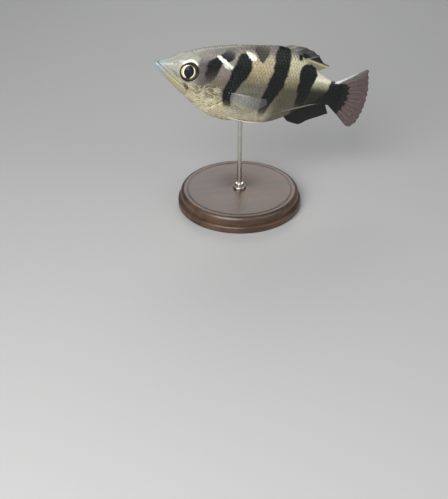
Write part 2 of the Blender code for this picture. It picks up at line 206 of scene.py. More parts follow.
# How much of the fish the unwrapped skin spans, and how wide a scale's own patch on it is
BAKE_LENGTH = 112.0
BAKE_PATCH = 0.003

# Scales lie a little unevenly: by shares of their spacing along the body, and in their rise
SCALE_SEED = 11
SCALE_STRAY = 0.05
SCALE_RISE_STRAY = 0.012

# Markings in side view: the name of a colour, how soft the edge is, and rows. Each row is a height,
# the marking's front and rear edge there, and how strong it is.
MARKINGS = (
    ("cheek", 1.8, (
        (-7, 22, 26, 0), (-3, 20.8, 28, 0.7), (2, 20, 29, 1), (7, 20, 29, 0.9), (11, 20, 27, 0),
    )),
    ("lip", 0.8, (
        (-5, 2, 5, 0), (-3, 1, 6, 0.5), (-0.5, -2, 4.6, 0.9), (2, -2, 5.5, 0.9), (4, 0, 6, 0),
    )),
    ("jaw_yellow", 0.5, (
        (-10.4, 17.5, 19.4, 0), (-9.2, 14.5, 18.6, 0.8), (-7.4, 11.2, 17.2, 0.9),
        (-5.6, 8.2, 15.4, 0.9), (-3.6, 5.6, 11.4, 0.7), (-2, 5, 7.4, 0),
    )),
    ("brown", 0.45, (
        (-9.6, 18.5, 19.4, 0), (-8.6, 18.1, 19.6, 0.9), (-7.4, 16.9, 19.4, 0.9),
        (-6, 15.4, 17.5, 0.8), (-5, 15, 16, 0),
    )),
    ("purple", 0.7, (
        (-3.6, 12.4, 13.6, 0), (-2.4, 11, 13.2, 0.45), (-0.6, 8.4, 11.4, 0.55), (0.8, 7.6, 9.2, 0),
    )),
    ("bar", 0.9, (
        (-3, 26.6, 28.6, 0), (-1.2, 26, 29.6, 0.6), (2, 24.8, 31, 0.9), (6, 24.8, 32.2, 1),
        (8.6, 25.6, 33.2, 1), (10.4, 28, 37, 1), (12, 30.8, 39, 0.95), (13.4, 32.6, 39, 0.85),
        (14.6, 34.4, 38.4, 0.5), (15.6, 35, 37.4, 0),
    )),
    ("bar", 0.7, (
        (-14.4, 40.4, 42.4, 0), (-12.6, 39.2, 43.2, 0.85), (-9.5, 37.2, 43, 1), (-5, 36.4, 43, 1),
        (0, 37.4, 45, 1), (4, 38.2, 47.6, 1), (9, 39.2, 49.2, 1), (13, 40.4, 48, 1),
        (14.8, 41.9, 46.3, 1), (16, 43.2, 45.2, 0),
    )),
    ("bar", 0.6, (
        (11.8, 54, 55, 0), (12.8, 53.2, 55.2, 0.85), (14.4, 50.8, 56, 0.9), (16, 49.6, 56.8, 0.88),
        (17.4, 49, 57, 0.75), (18.8, 50, 57, 0.5), (20.2, 51, 56, 0),
    )),
    # Low down, the fourth bar reaches forward into painted shade under the lateral line
    ("bar", 0.7, (
        (-18.5, 60, 63, 0), (-14.8, 59.6, 63.8, 0.75), (-10.7, 59.2, 64.4, 0.95),
        (-5.7, 58.6, 66, 1), (-2, 58.6, 67.4, 1), (1, 59.6, 69, 1), (9, 61, 70, 1),
        (17.7, 60.5, 69.8, 1), (21, 62.6, 69, 1), (24, 63, 69, 1),
    )),
    ("bar", 0.5, ((15.4, 75, 76.5, 0), (16.3, 74.4, 77.1, 1), (20.5, 74.5, 77.1, 1))),
    ("bar", 0.6, (
        (-11, 80.5, 83.5, 0), (-7.3, 79.3, 84.7, 0.9), (-3, 78.8, 85.5, 1), (1, 78, 86.3, 1),
        (5, 77.4, 86.8, 1), (9.3, 76.6, 88, 1), (12.7, 77, 86.8, 1), (14.3, 79, 84.2, 1),
        (15.4, 81, 82.5, 0),
    )),
    ("bar", 0.5, (
        (-15, 79, 90, 0), (-12, 79, 108, 1), (-9, 82, 109, 1), (-5.7, 89.4, 110.5, 1),
        (-1.5, 93.8, 111.2, 1), (2.7, 96.5, 110.4, 1), (6, 96.8, 108.6, 1), (7.3, 97.4, 107.2, 0.9),
        (8.8, 99, 106, 0),
    )),
    ("light_line", 0.5, (
        (-13.2, 71, 73.6, 0), (-12, 73.8, 77, 0.6), (-9.6, 80.8, 84.2, 0.75),
        (-6.9, 88.6, 92, 0.6), (-6, 93, 97, 0),
    )),
    # The two glints are painted highlights over pale iridescent patches on the shoulder and back
    ("glint", 0.5, (
        (6, 36.2, 37.4, 0), (6.8, 35.4, 38.4, 0.6), (7.7, 34.4, 39, 0.8), (8.6, 33.6, 38, 0.8),
        (9.4, 32.8, 36, 0.9), (10, 31.4, 34.6, 1), (10.6, 30.2, 34, 1), (11.2, 29.2, 32.8, 1),
        (11.8, 29.4, 31.6, 0.8), (12.4, 29.8, 31, 0),
    )),
    ("glint", 0.5, (
        (12.2, 48.4, 49.8, 0), (13, 47.6, 50.4, 1), (14.2, 45.6, 50, 1), (15.2, 44.4, 48.8, 1),
        (16, 44.6, 47.6, 1), (16.6, 45.2, 46.6, 0),
    )),
)
MARKING_LOW = -26.0
MARKING_SPAN = 52.0
MARKING_LENGTH = 128.0

# Noises that make the markings' edges stray: scale, detail and how far
EDGE_NOISES = ((0.35, 2.0, 2.2), (1.5, 3.0, 0.9))

# Soft limits of the cheek's spots and creases, as stations and as a height
CHEEK_FRONT = (17.0, 23.0)
CHEEK_REAR = (46.0, 41.0)
CHEEK_TOP = (-1.0, -6.0)
CREASE_REAR = (38.0, 33.0)

# A faint painted sheen of hues over the flank: places on its noise and a tint
SHEEN_HUES = (
    (0.3, (0.86, 0.98, 1.0)), (0.45, (1.0, 1.0, 0.96)), (0.55, (1.0, 0.97, 0.88)),
    (0.7, (1.0, 0.90, 0.95)),
)

# Dark and light tints: of the flank's clouds, the head's freckles and the fins' streaks
CLOUD_TINTS = ((0.72, 0.72, 0.74), (1.0, 1.0, 1.0))
FRECKLE_TINTS = ((0.80, 0.80, 0.82), (1.08, 1.08, 1.05))
FIN_TINTS = ((0.72, 0.72, 0.74), (1.2, 1.2, 1.16))

# The ground colours of the flank, from the belly up: a height and a colour. Each set after the
# first comes in between its two stations, over the set before it.
# Some of these colours are painted light: the lower rear flank and the stalk's lower half are
# bar to the fourth is painted shade, and the bright cream on the stalk's top is partly a painted
# highlight
# darkened partly as painted shade, the dark band just under the middle height from the second
GROUND_AND_SHADE = (
    (0.0, 0.0, (
        (-14, (0.40, 0.37, 0.25)), (-8, (0.38, 0.35, 0.24)), (-3, (0.37, 0.36, 0.29)),
        (2, (0.355, 0.36, 0.31)), (7, (0.365, 0.37, 0.315)), (12, (0.32, 0.315, 0.27)),
    )),
    (19.0, 25.0, (
        (-21, (0.66, 0.60, 0.42)), (-11.5, (0.50, 0.45, 0.30)), (-8, (0.21, 0.19, 0.12)),
        (-5.5, (0.18, 0.16, 0.105)), (-2, (0.165, 0.15, 0.11)), (3, (0.24, 0.19, 0.165)),
        (8, (0.25, 0.225, 0.20)), (11, (0.29, 0.27, 0.24)), (16, (0.22, 0.205, 0.19)),
    )),
    (38.0, 46.0, (
        (-24, (0.72, 0.66, 0.49)), (-18, (0.62, 0.57, 0.42)), (-13, (0.36, 0.33, 0.25)),
        (-6, (0.20, 0.19, 0.155)), (0, (0.145, 0.135, 0.10)), (5, (0.30, 0.255, 0.155)),
        (10, (0.44, 0.375, 0.235)), (15, (0.40, 0.36, 0.26)), (17.5, (0.19, 0.175, 0.155)),
        (22, (0.21, 0.19, 0.19)),
    )),
    (62.0, 70.0, (
        (-20, (0.18, 0.16, 0.12)), (-10, (0.12, 0.11, 0.08)), (0, (0.105, 0.095, 0.065)),
        (5, (0.28, 0.25, 0.155)), (11, (0.50, 0.47, 0.31)), (16, (0.52, 0.50, 0.35)),
        (18.5, (0.27, 0.255, 0.20)), (21, (0.20, 0.185, 0.165)),
    )),
    (78.0, 87.0, (
        (-11, (0.03, 0.028, 0.022)), (0.6, (0.035, 0.032, 0.024)), (2.2, (0.10, 0.09, 0.065)),
        (4, (0.32, 0.30, 0.21)), (5.6, (0.46, 0.44, 0.33)), (7.4, (0.84, 0.83, 0.66)),
        (10, (0.68, 0.68, 0.53)), (13, (0.40, 0.38, 0.33)),
    )),
)

# Free edges of the fins, and the tail fin's root, from the front or the top on: places tailward,
# out and up
SPINY_EDGE = ((68.5, 0, 22.6), (75.5, 0, 22.8), (82.0, 0, 21.7), (87.0, 0, 19.6))
SOFT_EDGE = ((86.6, 0, 19.3), (88.6, 0, 17.6), (90.0, 0, 16.4), (93.8, 0, 15.1), (93.0, 0, 14.2))
ANAL_EDGE = ((80.5, 0, -19.2), (87.0, 0, -20.0), (91.5, 0, -17.0), (97.0, 0, -14.0), (102.3, 0, -11.1))
TAIL_ROOT = ((100.0, 0, 6.9), (100.0, 0, 2.0), (100.0, 0, -2.5), (100.0, 0, -6.0))
TAIL_EDGE = (
    (109.5, 0, 12.6), (116.9, 0, 17.2), (118.9, 0, 13.0), (120.9, 0, 7.5), (122.0, 0, 2.5),
    (122.4, 0, -3.0), (121.8, 0, -9.0), (120.4, 0, -14.0), (117.0, 0, -16.8), (109.4, 0, -12.0),
)
CHEST_EDGE = (
    (60.0, 11.8, -4.4), (60.8, 12.0, -6.8), (58.2, 12.1, -9.6), (53.6, 11.8, -11.6),
    (48.8, 11.0, -12.4),
)
PELVIC_EDGE = ((57.5, 4.0, -21.9), (64.2, 2.6, -22.0))

# Both ends of the paired fins' roots: station and height on the flank for the side fins, station
# and distance from the middle for the belly fins. They are sunk into the body.
CHEST_ROOT = ((41.2, -5.4), (42.3, -10.0))
CHEST_ROOT_FORWARD = 1.2
CHEST_ROOT_SUNK = 1.1
PELVIC_ROOT = ((44.6, 4.2), (47.6, 2.6))
PELVIC_ROOT_SUNK = 0.8

# Where the middle fins' roots start and end along the body, and how deep they are sunk in it
SPINY_ROOT = (64.5, 78.5)
SOFT_ROOT = (79.3, 88.2)
ANAL_ROOT = (76.8, 98.6)
ROOT_SUNK = 0.9

# How many rays a fin has, the thickness of its fleshy base and how far its rays stand out. A ray
# is RAY_WIDTH wide in shares of the rays' spacing, and spreads by FORK_SPREADS where it forks.
SPINY_FIN = (5, 0.5, 0.75)
SOFT_FIN = (12, 0.7, 0.3)
ANAL_FIN = (17, 0.8, 0.3)
TAIL_FIN = (17, 1.5, 0.34)
CHEST_FIN = (12, 0.9, 0.26)
PELVIC_FIN = (6, 0.7, 0.4)
COLUMNS_PER_RAY = 14
RAY_WIDTH = 0.20
FORK_SPREADS = (0.24, 0.12)

# The camera's place in metres, how far it looks up from straight down and how far it is turned
CAMERA_PLACE = (-0.1378378, -0.4604817, 0.2850314)
CAMERA_TILT = math.radians(56.5663)
CAMERA_TURN = math.radians(-15.6451)
SENSOR_WIDTH = 36.0

# Each soft light's name, place, target, width, and the setting that holds its power
LIGHTS = (
    ("key_light", (-0.36, -0.42, 0.42), (0.02, 0.0, 0.07), 0.5, "key_power"),
    ("fill_light", (0.45, -0.50, 0.35), (0.0, 0.0, 0.06), 0.5, "fill_power"),
    ("rim_light", (0.15, 0.5, 0.45), (0.0, 0.0, 0.08), 0.35, "rim_power"),
)


def colour_setting(name, what, default):
    """A colour, in linear light."""
    return FloatVectorProperty(
        name=name, description=what, subtype="COLOR", size=3, min=0.0, max=1.0, default=default
    )


def size_setting(name, what, default):
    """A length in millimetres."""
    return FloatProperty(name=name, description=what + ", in millimetres", min=0.0, default=default)


class FishSizes(bpy.types.PropertyGroup):
    """Sizes of the skin, scales and fins, in the fish's own millimetres."""

    skin_depth: size_setting("Skin depth", "How far the skin lies under the outer form", 0.3)
    skin_step: size_setting("Skin step", "Spacing of the skin's points away from its folds", 0.66)
    mouth_depth: size_setting("Mouth depth", "Depth of the closed mouth's slit", 0.55)
    lip_swell: size_setting("Lip swell", "How far the lips stand out", 0.26)
    socket_depth: size_setting("Socket depth", "How far the skin drops under the eye", 1.6)
    gill_depth: size_setting("Gill depth", "Depth of the slit behind the gill cover", 0.8)
    body_scale: size_setting("Body scale", "Spacing of the scales at mid body", 1.85)
    head_scale: size_setting("Head scale", "Spacing of the scales on the cheek", 1.1)
    tail_scale: size_setting("Tail scale", "Spacing of the scales on the tail fin's base", 0.95)
    scale_thickness: size_setting("Scale thickness", "Thickness of one scale", 0.035)
    scale_rise: size_setting("Scale rise", "How far a scale's free edge stands over the skin", 0.05)
    membrane: size_setting("Membrane", "Thickness of the fins' membrane", 0.16)


class FishColours(bpy.types.PropertyGroup):
    """Colours of the skin, fins and eyes."""

    bar: colour_setting("Bar", "The black bars", (0.008, 0.009, 0.009))
    cheek: colour_setting("Cheek", "Grey olive behind the eye", (0.10, 0.093, 0.085))
    # Painted highlights over pale iridescent patches on the shoulder and back
    glint: colour_setting("Glint", "Bright flecks on the shoulder and back", (0.80, 0.81, 0.71))
    lip: colour_setting("Lip", "Bluish white tips of the jaws", (0.33, 0.39, 0.43))
    jaw_yellow: colour_setting("Jaw yellow", "Yellow olive strips along the jaws", (0.42, 0.39, 0.22))
    brown: colour_setting("Brown", "The dark end of the upper jaw", (0.075, 0.055, 0.038))
    purple: colour_setting("Purple", "Dark spots in front of the eye", (0.17, 0.14, 0.16))
    cheek_spot: colour_setting("Cheek spot", "Dark spots on the cheek", (0.12, 0.10, 0.06))
    # Pale creases on the cheek, partly painted glints
    cheek_crease_and_glint: colour_setting("Cheek crease", "Pale creases on the cheek", (0.85, 0.79, 0.58))
    # Painted highlight: the white crescent on the rim over the eye
    orbit_highlight: colour_setting("Orbit", "White crescent on the rim over the eye", (0.86, 0.84, 0.72))
    light_line: colour_setting("Light line", "The pale line over the anal fin", (0.26, 0.25, 0.19))
    fin_black: colour_setting("Fin black", "The black back and anal fins", (0.006, 0.006, 0.0055))
    spine_grey: colour_setting("Spine grey", "The folded spines on the back", (0.045, 0.045, 0.047))
    spine_tan: colour_setting("Spine tan", "The front of the spiny back fin", (0.20, 0.185, 0.165))
    fin_yellow: colour_setting("Fin yellow", "The base of the soft back fin", (0.34, 0.31, 0.15))
    fin_tip: colour_setting("Fin tip", "The pale tip of the soft back fin", (0.16, 0.155, 0.115))
    tail_smoke: colour_setting("Tail smoke", "The tail fin's membrane", (0.115, 0.085, 0.083))
    tail_fleck: colour_setting("Tail fleck", "The tail fin's rays", (0.060, 0.043, 0.043))
    # The tail fin's upper edge: pale rays, partly a painted highlight
    tail_white_and_highlight: colour_setting("Tail white", "The tail fin's upper edge", (0.62, 0.64, 0.64))
    tail_grey: colour_setting("Tail grey", "The haze behind the white edge", (0.26, 0.25, 0.26))
    chest_clear: colour_setting("Chest clear", "The side fins' membrane", (0.22, 0.23, 0.235))
    # The side fins' pale rays, partly painted highlights, and the painted highlight at their upper root
    chest_ray_and_highlight: colour_setting("Chest ray", "The side fins' rays", (0.62, 0.63, 0.62))
    chest_flesh: colour_setting("Chest flesh", "The side fins' lower rays", (0.33, 0.30, 0.23))
    pelvic_pink: colour_setting("Pelvic pink", "The belly fins", (0.50, 0.45, 0.37))
    pelvic_ray: colour_setting("Pelvic ray", "The belly fins' rays", (0.74, 0.70, 0.64))
    pupil: colour_setting("Pupil", "The blue-black pupil", (0.010, 0.012, 0.019))
    pupil_black: colour_setting("Pupil black", "The pupil's edge", (0.003, 0.003, 0.003))
    iris: colour_setting("Iris", "The pale gold ring", (0.68, 0.63, 0.39))
    iris_bright: colour_setting("Iris bright", "The inner edge of the gold ring", (0.88, 0.85, 0.64))
    eye_ring: colour_setting("Eye ring", "The dark ring round the iris", (0.034, 0.025, 0.017))
    eye_margin: colour_setting("Eye margin", "The skin at the eye's rim", (0.30, 0.28, 0.24))


class StandSettings(bpy.types.PropertyGroup):
    """Sizes and colours of the turned stand."""

    base_radius: size_setting("Base radius", "Radius of the wooden base", 34.0)
    base_height: size_setting("Base height", "Height of the wooden base", 9.0)
    rod_radius: size_setting("Rod radius", "Radius of the steel rod", 1.25)
    rod_top: size_setting("Rod top", "Height of the rod's hidden end", 55.7)
    wood_dark: colour_setting("Wood dark", "The wood between its growth rings", (0.030, 0.015, 0.008))
    wood_light: colour_setting("Wood light", "The wood's growth rings", (0.085, 0.043, 0.022))
    steel: colour_setting("Steel", "The satin steel", (0.62, 0.60, 0.56))


class StageSettings(bpy.types.PropertyGroup):
    """Floor, light and camera."""

    floor_size: FloatProperty(
        name="Floor size", description="Width of the floor", unit="LENGTH", default=8.0
    )
    floor_colour: colour_setting("Floor colour", "Plain pale floor", (0.40, 0.40, 0.395))
    key_power: FloatProperty(
        name="Key power", description="Power of the large soft light", unit="POWER", default=6.6
    )
    fill_power: FloatProperty(
        name="Fill power", description="Power of the fill light", unit="POWER", default=1.5
    )
    rim_power: FloatProperty(
        name="Rim power", description="Power of the light behind", unit="POWER", default=1.2
    )
    sky: FloatProperty(name="Sky", description="Strength of the light from all round", default=0.2)
    sky_colour: colour_setting("Sky colour", "Colour of the light from all round", (0.93, 0.95, 1.0))
    lens: FloatProperty(
        name="Lens", description="Focal length in millimetres on a 36 mm sensor", unit="CAMERA",
        default=72.0,
    )


def sizes():
    """The scene's sizes of the fish."""
    return bpy.context.scene.fish_sizes


def colours():
    """The scene's colours of the fish."""
    return bpy.context.scene.fish_colours


def along(knots, stations):
    """Smooth values at the stations, through the knots and with no overshoot between them."""
    x, y = np.array(knots, float).T
    span = np.diff(x)
    slope = np.diff(y) / span
    total = np.where(slope[:-1] * slope[1:] > 0, slope[:-1] + slope[1:], 1.0)
    inner = np.where(slope[:-1] * slope[1:] > 0, 2 * slope[:-1] * slope[1:] / total, 0.0)
    tangent = np.concatenate(([slope[0]], inner, [slope[-1]]))
    at = np.clip(stations, x[0], x[-1])
    i = np.clip(np.searchsorted(x, at, side="right") - 1, 0, len(span) - 1)
    t = (at - x[i]) / span[i]
    rise = t * t * (3 - 2 * t)
    bow = tangent[i] * t * (1 - t) ** 2 - tangent[i + 1] * t * t * (1 - t)
    return y[i] * (1 - rise) + y[i + 1] * rise + span[i] * bow


def ease(value, start, end):
    """0 up to start and 1 from end on, smooth between. Either one may be the larger."""
    t = np.clip((value - start) / (end - start), 0.0, 1.0)
    return t * t * (3 - 2 * t)


def hump(distance, width):
    """1 at no distance, falling away smoothly over about this width."""
    return np.exp(-((distance / width) ** 2))


def section(stations):
    """Half width, widest level, top, bottom and the two fullness numbers of the body."""
    top, bottom = along(BACK_LINE, stations), along(BELLY_LINE, stations)
    depth = top - bottom
    level = np.clip(along(WIDEST_LEVEL, stations), bottom + 0.3 * depth, bottom + 0.7 * depth)
    fullness = along(BACK_FULLNESS, stations), along(BELLY_FULLNESS, stations)
    return along(HALF_WIDTH, stations), level, top, bottom, *fullness


def flank(stations, heights):
    """How far out the body's side is."""
    half, level, top, bottom, upper, lower = section(stations)
    over = heights >= level
    power = np.where(over, upper, lower)
    share = np.abs((heights - level) / (np.where(over, top, bottom) - level))
    return half * np.maximum(1 - share ** power, 0.0) ** (1 / power)


def body_table():
    """Places and normals over the body's +Y side, by station and share of the girth, and the girth."""
    stations = np.linspace(0.0, SKIN_END, TABLE_STATIONS)
    half, level, top, bottom, upper, lower = (v[:, None] for v in section(stations))
    angle = np.linspace(math.pi / 2, -math.pi / 2, TABLE_ANGLES)[None, :]
    c, s = np.clip(np.cos(angle), 0.0, 1.0), np.sin(angle)
    power = 2 / np.where(s >= 0, upper, lower)
    y = c ** power * half
    z = level + np.abs(s) ** power * np.where(s >= 0, top - level, bottom - level)
    from_brow = np.hypot(
        (stations[:, None] - BROW_PLACE[0]) / BROW_REACH[0], (z - BROW_PLACE[1]) / BROW_REACH[1]
    )
    swell = hump(from_brow, 1.0) * y / half
    y, z = y + swell, z + 0.9 * swell
    nose = np.sqrt(np.clip(1 - (1 - stations / SNOUT_ROUND).clip(0) ** 2, 0, 1))[:, None]
    middle = (top + bottom) / 2
    y, z = y * nose, middle + (z - middle) * nose
    places = np.empty((TABLE_STATIONS, TABLE_SHARES, 3))
    girth = np.empty(TABLE_STATIONS)
    shares = np.linspace(0, 1, TABLE_SHARES)
    for i, station in enumerate(stations):
        run = np.concatenate(([0], np.cumsum(np.hypot(np.diff(y[i]), np.diff(z[i])))))
        girth[i] = run[-1]
        wanted = shares * max(run[-1], 1e-9)
        places[i, :, 0] = station
        places[i, :, 1] = np.interp(wanted, run, y[i])
        places[i, :, 2] = np.interp(wanted, run, z[i])
    across = np.gradient(places, axis=1)
    across[:, 0] = (0, 1, 0)
    across[:, -1] = (0, -1, 0)
    across[0] = across[1]
    tailward = np.gradient(places, axis=0)
    normals = np.cross(tailward, across)
    normals /= np.linalg.norm(normals, axis=2, keepdims=True) + 1e-12
    return places, normals, girth


PLACES, NORMALS, GIRTH = body_table()


def looked_up(table, stations, shares):
    """Values of a table of the body at these stations and shares of the girth."""
    i = np.clip(stations / SKIN_END, 0, 1) * (TABLE_STATIONS - 1)
    j = np.clip(shares, 0, 1) * (TABLE_SHARES - 1)
    i0 = np.minimum(i.astype(int), TABLE_STATIONS - 2)
    j0 = np.minimum(j.astype(int), TABLE_SHARES - 2)
    u, v = (i - i0)[..., None], (j - j0)[..., None]
    low = table[i0, j0] * (1 - u) + table[i0 + 1, j0] * u
    high = table[i0, j0 + 1] * (1 - u) + table[i0 + 1, j0 + 1] * u
    return low * (1 - v) + high * v


def girth_at(stations):
    """Half the body's girth: from the middle of the back to the middle of the belly."""
    return np.interp(stations, np.linspace(0, SKIN_END, TABLE_STATIONS), GIRTH)


def on_body(stations, shares, lift):
    """Places this far over the outer form. A share under 0 or over 1 is past the middle line."""
    folded = np.where(shares < 0, -shares, np.where(shares > 1, 2 - shares, shares))
    side = np.where((shares < 0) | (shares > 1), -1.0, 1.0)
    place = looked_up(PLACES, stations, folded)
    normal = looked_up(NORMALS, stations, folded)
    normal /= np.linalg.norm(normal, axis=-1, keepdims=True)
    place = place + normal * np.asarray(lift)[..., None]
    place[..., 1] *= side
    return place


def to_world(places):
    """World points in metres of places on the fish's own axes."""
    tailward, across, up = np.moveaxis(np.asarray(places, float), -1, 0)
    c, s = math.cos(PITCH), math.sin(PITCH)
    foot = float(along(BELLY_LINE, ROD_STATION))
    x = tailward * c + up * s - (ROD_STATION * c + foot * s)
    z = up * c - tailward * s + BELLY_HEIGHT - (foot * c - ROD_STATION * s)
    return MM * np.stack((x, across, z), -1)


def rounded(line, rounds=2):
    """The open line with its corners cut off, so that it reads as a curve."""
    points = np.array(line, float)
    for _ in range(rounds):
        before, after = points[:-1], points[1:]
        cut = np.stack((0.75 * before + 0.25 * after, 0.25 * before + 0.75 * after), 1)
        points = np.concatenate((points[:1], cut.reshape(-1, 2), points[-1:]))
    return points


def from_line(stations, heights, line, rounds=2):
    """Distance to a side-view line, which side of it (+1 is left of its run) and how far along."""
    points = rounded(line, rounds)
    nearest = np.full(np.shape(stations), np.inf)
    side = np.ones_like(nearest)
    share = np.zeros_like(nearest)
    steps = np.linalg.norm(np.diff(points, axis=0), axis=1)
    starts = np.concatenate(([0], np.cumsum(steps))) / steps.sum()
    for i, (p, q) in enumerate(zip(points[:-1], points[1:])):
        run = q - p
        t = np.clip(((stations - p[0]) * run[0] + (heights - p[1]) * run[1]) / (run @ run), 0, 1)
        dx, dz = stations - (p[0] + t * run[0]), heights - (p[1] + t * run[1])
        distance = np.hypot(dx, dz)
        closer = distance < nearest
        nearest = np.where(closer, distance, nearest)
        side = np.where(closer, np.where(run[0] * dz - run[1] * dx >= 0, 1.0, -1.0), side)
        share = np.where(closer, starts[i] + t * (starts[i + 1] - starts[i]), share)
    return nearest, side, share


def eye_distance(stations, heights):
    """Distance from the middle of the eye's ring, as it shows in side view."""
    x = (stations - (EYE_CENTRE[0] - EYE_RING_SHIFT)) / math.cos(EYE_FORWARD)
    return np.hypot(x - EYE_RIM_CENTRE[0], heights - EYE_CENTRE[2] - EYE_RIM_CENTRE[1])


def beside(distance, shape):
    """A swelling beside a line, from its strength, its distance from the line and its width."""
    strength, middle, width = shape
    return strength * hump(distance - middle, width)


def mouth_fold(station, height):
    """The closed mouth's slit, its lips, the jutting tip of the lower jaw and the lips' grooves."""
    s = sizes()
    away, side, share = from_line(station, height, MOUTH_LINE)
    closed = 1 - ease(share, 0.93, 1.0)
    upper = side > 0
    lips = np.where(upper, beside(away, UPPER_LIP), beside(away, LOWER_LIP))
    grooves = np.where(upper, beside(away, UPPER_LIP_GROOVE), beside(away, LOWER_LIP_GROOVE))
    from_tip = np.hypot(station - LOWER_TIP[0], height - LOWER_TIP[1])
    jutting = np.where(upper, 0.0, beside(from_tip, LOWER_TIP_JUT))
    set_back = np.where(upper, UPPER_SET_BACK * (1 - ease(station, 1.0, 2.9)), 0.0)
    slit = s.mouth_depth * hump(away, MOUTH_SLIT_WIDTH)
    return closed * (s.lip_swell * lips - slit - LIP_GROOVE_DEPTH * grooves) + jutting - set_back


def jaw_folds(station, height):
    """The grooves over the upper jaw and behind the lower one, and the plate at the jaw's corner."""
    away, _, share = from_line(station, height, MAXILLA_GROOVE)
    lift = -beside(away, MAXILLA_DIP) * ease(share, 0.0, 0.1)
    away, _, share = from_line(station, height, JAW_GROOVE)
    lift -= beside(away, JAW_DIP) * (1 - ease(share, 0.6, 1.0))
    x, z = station - UPPER_JAW_PLATE[0], height - UPPER_JAW_PLATE[1]
    plate = np.hypot((x + 0.5 * z) / 2.6, (z + 0.5 * x) / 1.3)
    return lift + 0.16 * (1 - ease(plate, 0.5, 1.1))


def eye_fold(station, height):
    """The socket under the eye, the swelling round it and the dip beyond."""
    beyond = eye_distance(station, height) - EYE_RIM
    socket_floor = sizes().socket_depth * (1 - ease(beyond, -0.3, 0.05))
    return beside(beyond, EYE_SWELLING) - beside(beyond, EYE_DIP) - socket_floor


def nostril_folds(station, height):
    """Each nostril: a small pit with a raised rim."""
    lift = np.zeros(np.shape(station))
    for x, z, radius in NOSTRILS:
        away = np.hypot(station - x, height - z)
        lift += 0.12 * hump(away - radius * 1.7, radius * 0.5) - 0.6 * hump(away, radius)
    return lift


def gill_folds(station, height):
    """The step behind the cheek's plate, and the slit behind the gill cover with its rim."""
    away, side, share = from_line(station, height, CHEEK_PLATE)
    there = ease(share, 0.0, 0.15) * (1 - ease(share, 0.85, 1.0))
    lift = there * np.where(side > 0, -beside(away, CHEEK_STEP), beside(away, CHEEK_RIM))
    away, side, share = from_line(station, height, GILL_EDGE)
    there = ease(share, 0.0, 0.3) * (1 - ease(share, 0.62, 0.95))
    slit = sizes().gill_depth * hump(away, 0.24) + 0.26 * np.exp(-away / 1.5)
    return lift - there * np.where(side > 0, slit, beside(away, GILL_RIM) + beside(away, GILL_LINE))


def folds(stations, heights):
    """How far the head's folds and the lateral line lift the skin."""
    lift = np.zeros(np.shape(stations))
    head = np.flatnonzero(stations < HEAD_END)
    station, height = stations.ravel()[head], heights.ravel()[head]
    for fold in (mouth_fold, jaw_folds, eye_fold, nostril_folds, gill_folds):
        lift.ravel()[head] += fold(station, height)
    away, _, share = from_line(stations, heights, LATERAL_LINE)
    return lift + beside(away, LATERAL_RIDGE) * ease(share, 0.0, 0.03)


def socket(tree, value, target):
    """Links a socket to an input, or sets the input to a value."""
    if isinstance(value, bpy.types.NodeSocket):
        tree.links.new(value, target)
    else:
        target.default_value = value


def node(tree, kind, inputs=None, out=0, **settings):
    """Adds a node with its settings and inputs, and returns one of its outputs."""
    made = tree.nodes.new(kind)
    for name, value in settings.items():
        setattr(made, name, value)
    for key, value in (inputs or {}).items():
        socket(tree, value, made.inputs[key])
    return made.outputs[out]


def calc(tree, operation, first, second=0.0, third=0.0):
    """One step of arithmetic on up to three values."""
    inputs = {0: first, 1: second, 2: third}
    return node(tree, "ShaderNodeMath", inputs, operation=operation)


def product(tree, first, *others):
    """Values multiplied with one another."""
    for other in others:
        first = calc(tree, "MULTIPLY", first, other)
    return first


def step_up(tree, value, start, end):
    """0 up to start and 1 from end on, smooth between. Either one may be the larger."""
    inputs = {"Value": value, "From Min": start, "From Max": end}
    return node(tree, "ShaderNodeMapRange", inputs, interpolation_type="SMOOTHSTEP")


def mixed(tree, share, first, second, blend="MIX"):
    """Two colours mixed by a share."""
    inputs = {0: share, 6: opaque(first), 7: opaque(second)}
    return node(tree, "ShaderNodeMix", inputs, 2, data_type="RGBA", blend_type=blend)


def opaque(colour):
    """A colour of three numbers with its fourth, or a socket as it is."""
    return colour if isinstance(colour, bpy.types.NodeSocket) else (*tuple(colour)[:3], 1.0)


def ramp(tree, value, stops):
    """A colour ramp through stops of a place from 0 to 1 and a colour."""
    made = tree.nodes.new("ShaderNodeValToRGB")
    socket(tree, value, made.inputs[0])
    elements = made.color_ramp.elements
    while len(elements) < len(stops):
        elements.new(1.0)
    for element, (place, colour) in zip(elements, stops):
        element.position = place
        element.color = opaque(colour)
    return made.outputs[0]


def noise(tree, vector, scale, detail=3.0, roughness=0.5):
    """A soft noise from 0 to 1."""
    inputs = {"Vector": vector, "Scale": scale, "Detail": detail, "Roughness": roughness}
    return node(tree, "ShaderNodeTexNoise", inputs)


def stretched(tree, vector, scale, turn=(0.0, 0.0, 0.0), shift=(0.0, 0.0, 0.0)):
    """A vector stretched, turned and moved."""
    inputs = {"Vector": vector, "Location": shift, "Rotation": turn, "Scale": scale}
    return node(tree, "ShaderNodeMapping", inputs)


def fish_axes(tree):
    """The fish's own axes in millimetres, from the object's coordinates."""
    corner = to_world((0.0, 0.0, 0.0)) / MM
    c, s = math.cos(PITCH), math.sin(PITCH)
    shift = (-(corner[0] * c - corner[2] * s), 0.0, -(corner[0] * s + corner[2] * c))
    place = node(tree, "ShaderNodeTexCoord", out=3)
    return stretched(tree, place, (1 / MM,) * 3, (0.0, -PITCH, 0.0), shift)


def split(tree, vector):
    """The three coordinates of a vector."""
    parts = tree.nodes.new("ShaderNodeSeparateXYZ")
    tree.links.new(vector, parts.inputs[0])
    return parts.outputs


def by_height(level):
    """A height in millimetres as a place on the ramps over the flank's height."""
    return (level - MARKING_LOW) / MARKING_SPAN


